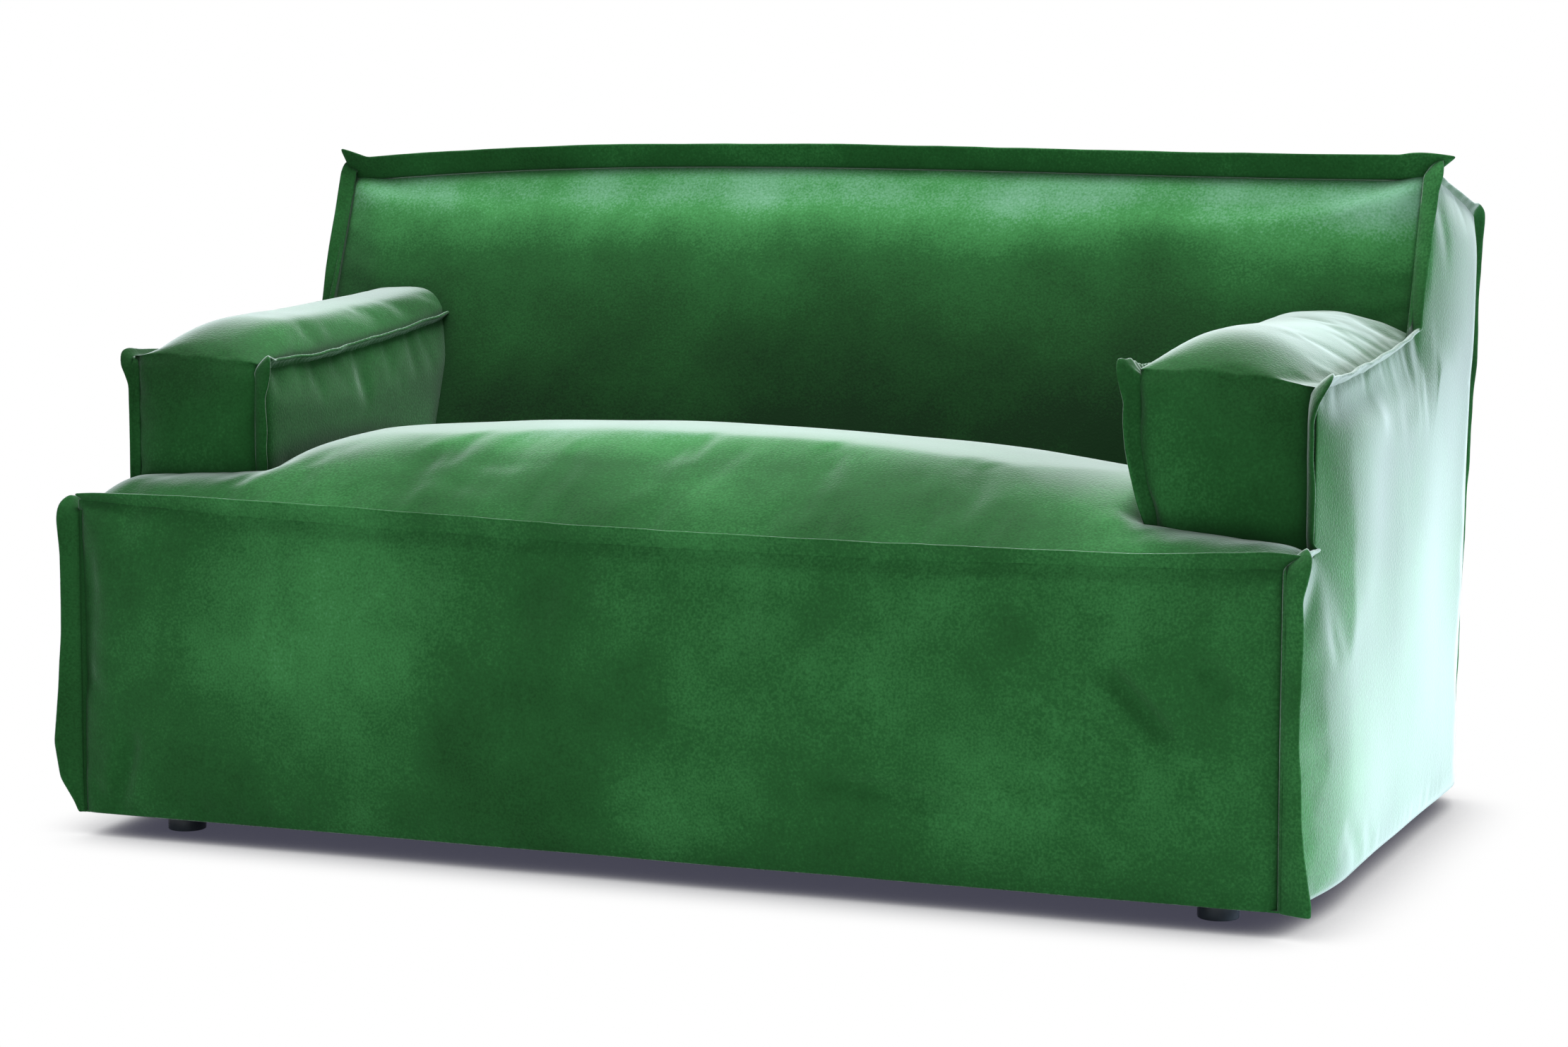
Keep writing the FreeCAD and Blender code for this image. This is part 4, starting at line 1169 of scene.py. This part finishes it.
def side_spot(i, share):
    (y0, z0), (y1, z1) = SIDE_CORNERS[i], SIDE_CORNERS[i + 1]
    sag = ARM_SAG * dome(share) if i == ARM_STRETCH else 0.0
    return Vector((0, mix(y0, y1, share), mix(z0, z1, share) - sag))


def make_side_lip(name, side):
    def seam(distance):
        out = side * read(SIDE_SEAM_X[side], sum(on_stretch(distance)))
        return Vector((out, 0, 0)) + eased(distance, side_spot)

    def way(distance):
        stand = eased(distance, lambda i, share: Vector(SIDE_WAYS[side][i]))
        return Vector((side * stand.x, stand.y, stand.z))

    def width(distance):
        ears = sum(size * peak(distance, CORNER_AT[corner], EAR) for corner, size in EARS[side].items())
        plain = read(SIDE_LIP_W[side], sum(on_stretch(distance)))
        return plain + ears + SIDE_LIP_WAVE * wave(distance, 0.1, seed=51 + side)

    make_lip(
        "side_seam_lip_" + name, CORNER_AT[-1], seam, way, width, "side_lip_" + name, 0.004, 55 + 3 * side
    )


for name, side in SIDES:
    make_side_lip(name, side)

# %% [markdown]
# ## Lips on the arms
# Each arm has one more lip, up its inner front edge and back along the inner edge of its top. On the
# right arm the top cloth is gathered into it, so that lip has small ribs, about 10 mm apart.

# %% Arm lips
ARM_LIP_W, ARM_LIP_EAR, ARM_LIP_WAVE = 0.010, 0.014, 0.003
ARM_LIP_UPRIGHT = {1: 0.007, -1: 0.003}  # how much wider it is on its upright stretch
ARM_LIP_LOW = 0.430
ARM_LIP_IN, ARM_LIP_DOWN = 0.004, 0.002  # how far its seam lies inside the arm's edges
ARM_LIP_GROW = 0.10  # over which it widens from the seat up
ARM_TURN, ARM_EAR_LIFT = 0.02, 0.4  # over which it turns the corner, and how far that points up
ARM_LIP_STEP = 0.0035  # fine enough for the ribs
ARM_FRONT_WAY = {1: 0.7, -1: 0.35}  # how far the upright stretch turns to the front
RIB_MM = 10
ARM_GATHER = {1: 0.0013, -1: 0.0003}


def make_arm_lip(name, side):
    height = arm_top_z(0, 0, side) - ARM_LIP_LOW
    length = height + ARM_BACK_Y - ARM_FRONT_Y
    inward = Vector((-side, 0, 0))

    def seam(distance):
        y = ARM_FRONT_Y + ARM_LIP_IN + max(0.0, distance - height)
        along = (y - ARM_FRONT_Y) / (ARM_FAR_Y - ARM_FRONT_Y)
        z = ARM_LIP_LOW + distance if distance < height else arm_top_z(0, along, side)
        ribs = ARM_GATHER[side] * math.sin(2000 * math.pi * distance / RIB_MM) * (distance > height)
        return Vector((side * (arm_inner_x(along, side, z) + ARM_LIP_IN), y, z - ARM_LIP_DOWN + ribs))

    def way(distance):
        turn = max(0.0, min(1.0, (distance - height) / ARM_TURN + 0.5))
        upright = FORWARD * ARM_FRONT_WAY[side] * (1 - turn) + UPWARD * turn
        return inward + upright + ARM_EAR_LIFT * UPWARD * peak(distance, height, EAR)

    def width(distance):
        ear = ARM_LIP_EAR * peak(distance, height, EAR)
        upright = ARM_LIP_UPRIGHT[side] * rise(distance / ARM_LIP_GROW) if distance < height else 0.0
        return ARM_LIP_W + upright + ear + ARM_LIP_WAVE * wave(distance, 0.05, seed=61 + side)

    make_lip(
        "arm_seam_lip_" + name, length, seam, way, width, "arm_lip_" + name, 0.005, 65 + 3 * side,
        ARM_LIP_STEP,
    )


for name, side in SIDES:
    make_arm_lip(name, side)

# %% [markdown]
# ## What the cover hides
# The frame, springs and linings show from below and when the cover is off, so they get their own
# finishes: plywood and timber with grain, steel wire, zinc plate, felt, webbing, black lining cloth and
# moulded feet. Each has one noise for its colour and its relief, drawn out along the grain on wood. The
# lining under the frame and the felt over the springs are flat sheets of cloth. Their weave and fibres
# are too fine to show, and are drawn at 2.5 to 4 mm.

# %% Finishes of the hidden pieces
def noisy_material(name, dark, light, grain_mm, stretch=(1, 1, 1), roughness=0.8, metallic=0.0, bump=0.0004):
    """A finish whose colour and surface vary with one noise, which can be drawn out along an axis."""
    material, tree, shader, place = new_material(name)
    drawn = add_node(tree, "Mapping", {"Scale": stretch}, {"Vector": place})
    grain = add_node(
        tree, "TexNoise", {"Scale": per_size(grain_mm), "Detail": 4.0}, {"Vector": drawn.outputs[0]}
    )
    colour = add_node(tree, "ValToRGB", links={"Fac": grain.outputs["Fac"]})
    set_ramp(colour, [(0.3, linear(dark)), (0.7, linear(light))])
    relief = add_node(tree, "Bump", {"Strength": 0.4, "Distance": bump}, {"Height": grain.outputs["Fac"]})
    tree.links.new(colour.outputs["Color"], shader.inputs["Base Color"])
    tree.links.new(relief.outputs["Normal"], shader.inputs["Normal"])
    shader.inputs["Roughness"].default_value = roughness
    shader.inputs["Metallic"].default_value = metallic
    return material


FINISHES = {
    "plywood": noisy_material("birch_plywood", "#b08c5e", "#cfae7f", 14, (1, 0.12, 1), 0.65),
    "timber": noisy_material("planed_pine", "#a97c4b", "#cda36c", 12, (0.08, 1, 1), 0.6),
    "hardboard": noisy_material("hardboard", "#5a4030", "#76563f", 3, roughness=0.55),
    "felt": noisy_material("needle_felt", "#555558", "#757578", 4, roughness=0.95),
    "webbing": noisy_material("elastic_webbing", "#17171a", "#2c2c31", 3, roughness=0.9),
    "dust_cloth": noisy_material("lining_cloth", "#121214", "#202023", 2.5, roughness=0.95),
    "tape": noisy_material("hook_tape", "#152419", "#26402c", 2.5, roughness=0.95),
    "spring_steel": noisy_material("spring_wire", "#5e5c5a", "#85827f", 6, roughness=0.4, metallic=1.0),
    "zinc": noisy_material("zinc_plate", "#b3b5b9", "#d5d7da", 5, roughness=0.35, metallic=1.0),
    "foot_plastic": noisy_material("moulded_plastic", "#39434a", "#4a555c", 20, roughness=0.22, bump=0.0001),
    "velvet": velvet,
}


def dress_hidden_nodes():
    dressed = 0
    for part in frame["record"]["subparts"]:
        node = frame["nodes"][part["node"]]
        if node.hide_render or part["material_slot"] not in FINISHES:
            continue
        node.data.materials.clear()
        node.data.materials.append(FINISHES[part["material_slot"]])
        dressed += 1
    print(dressed, "nodes of the measured model dressed")


dress_hidden_nodes()
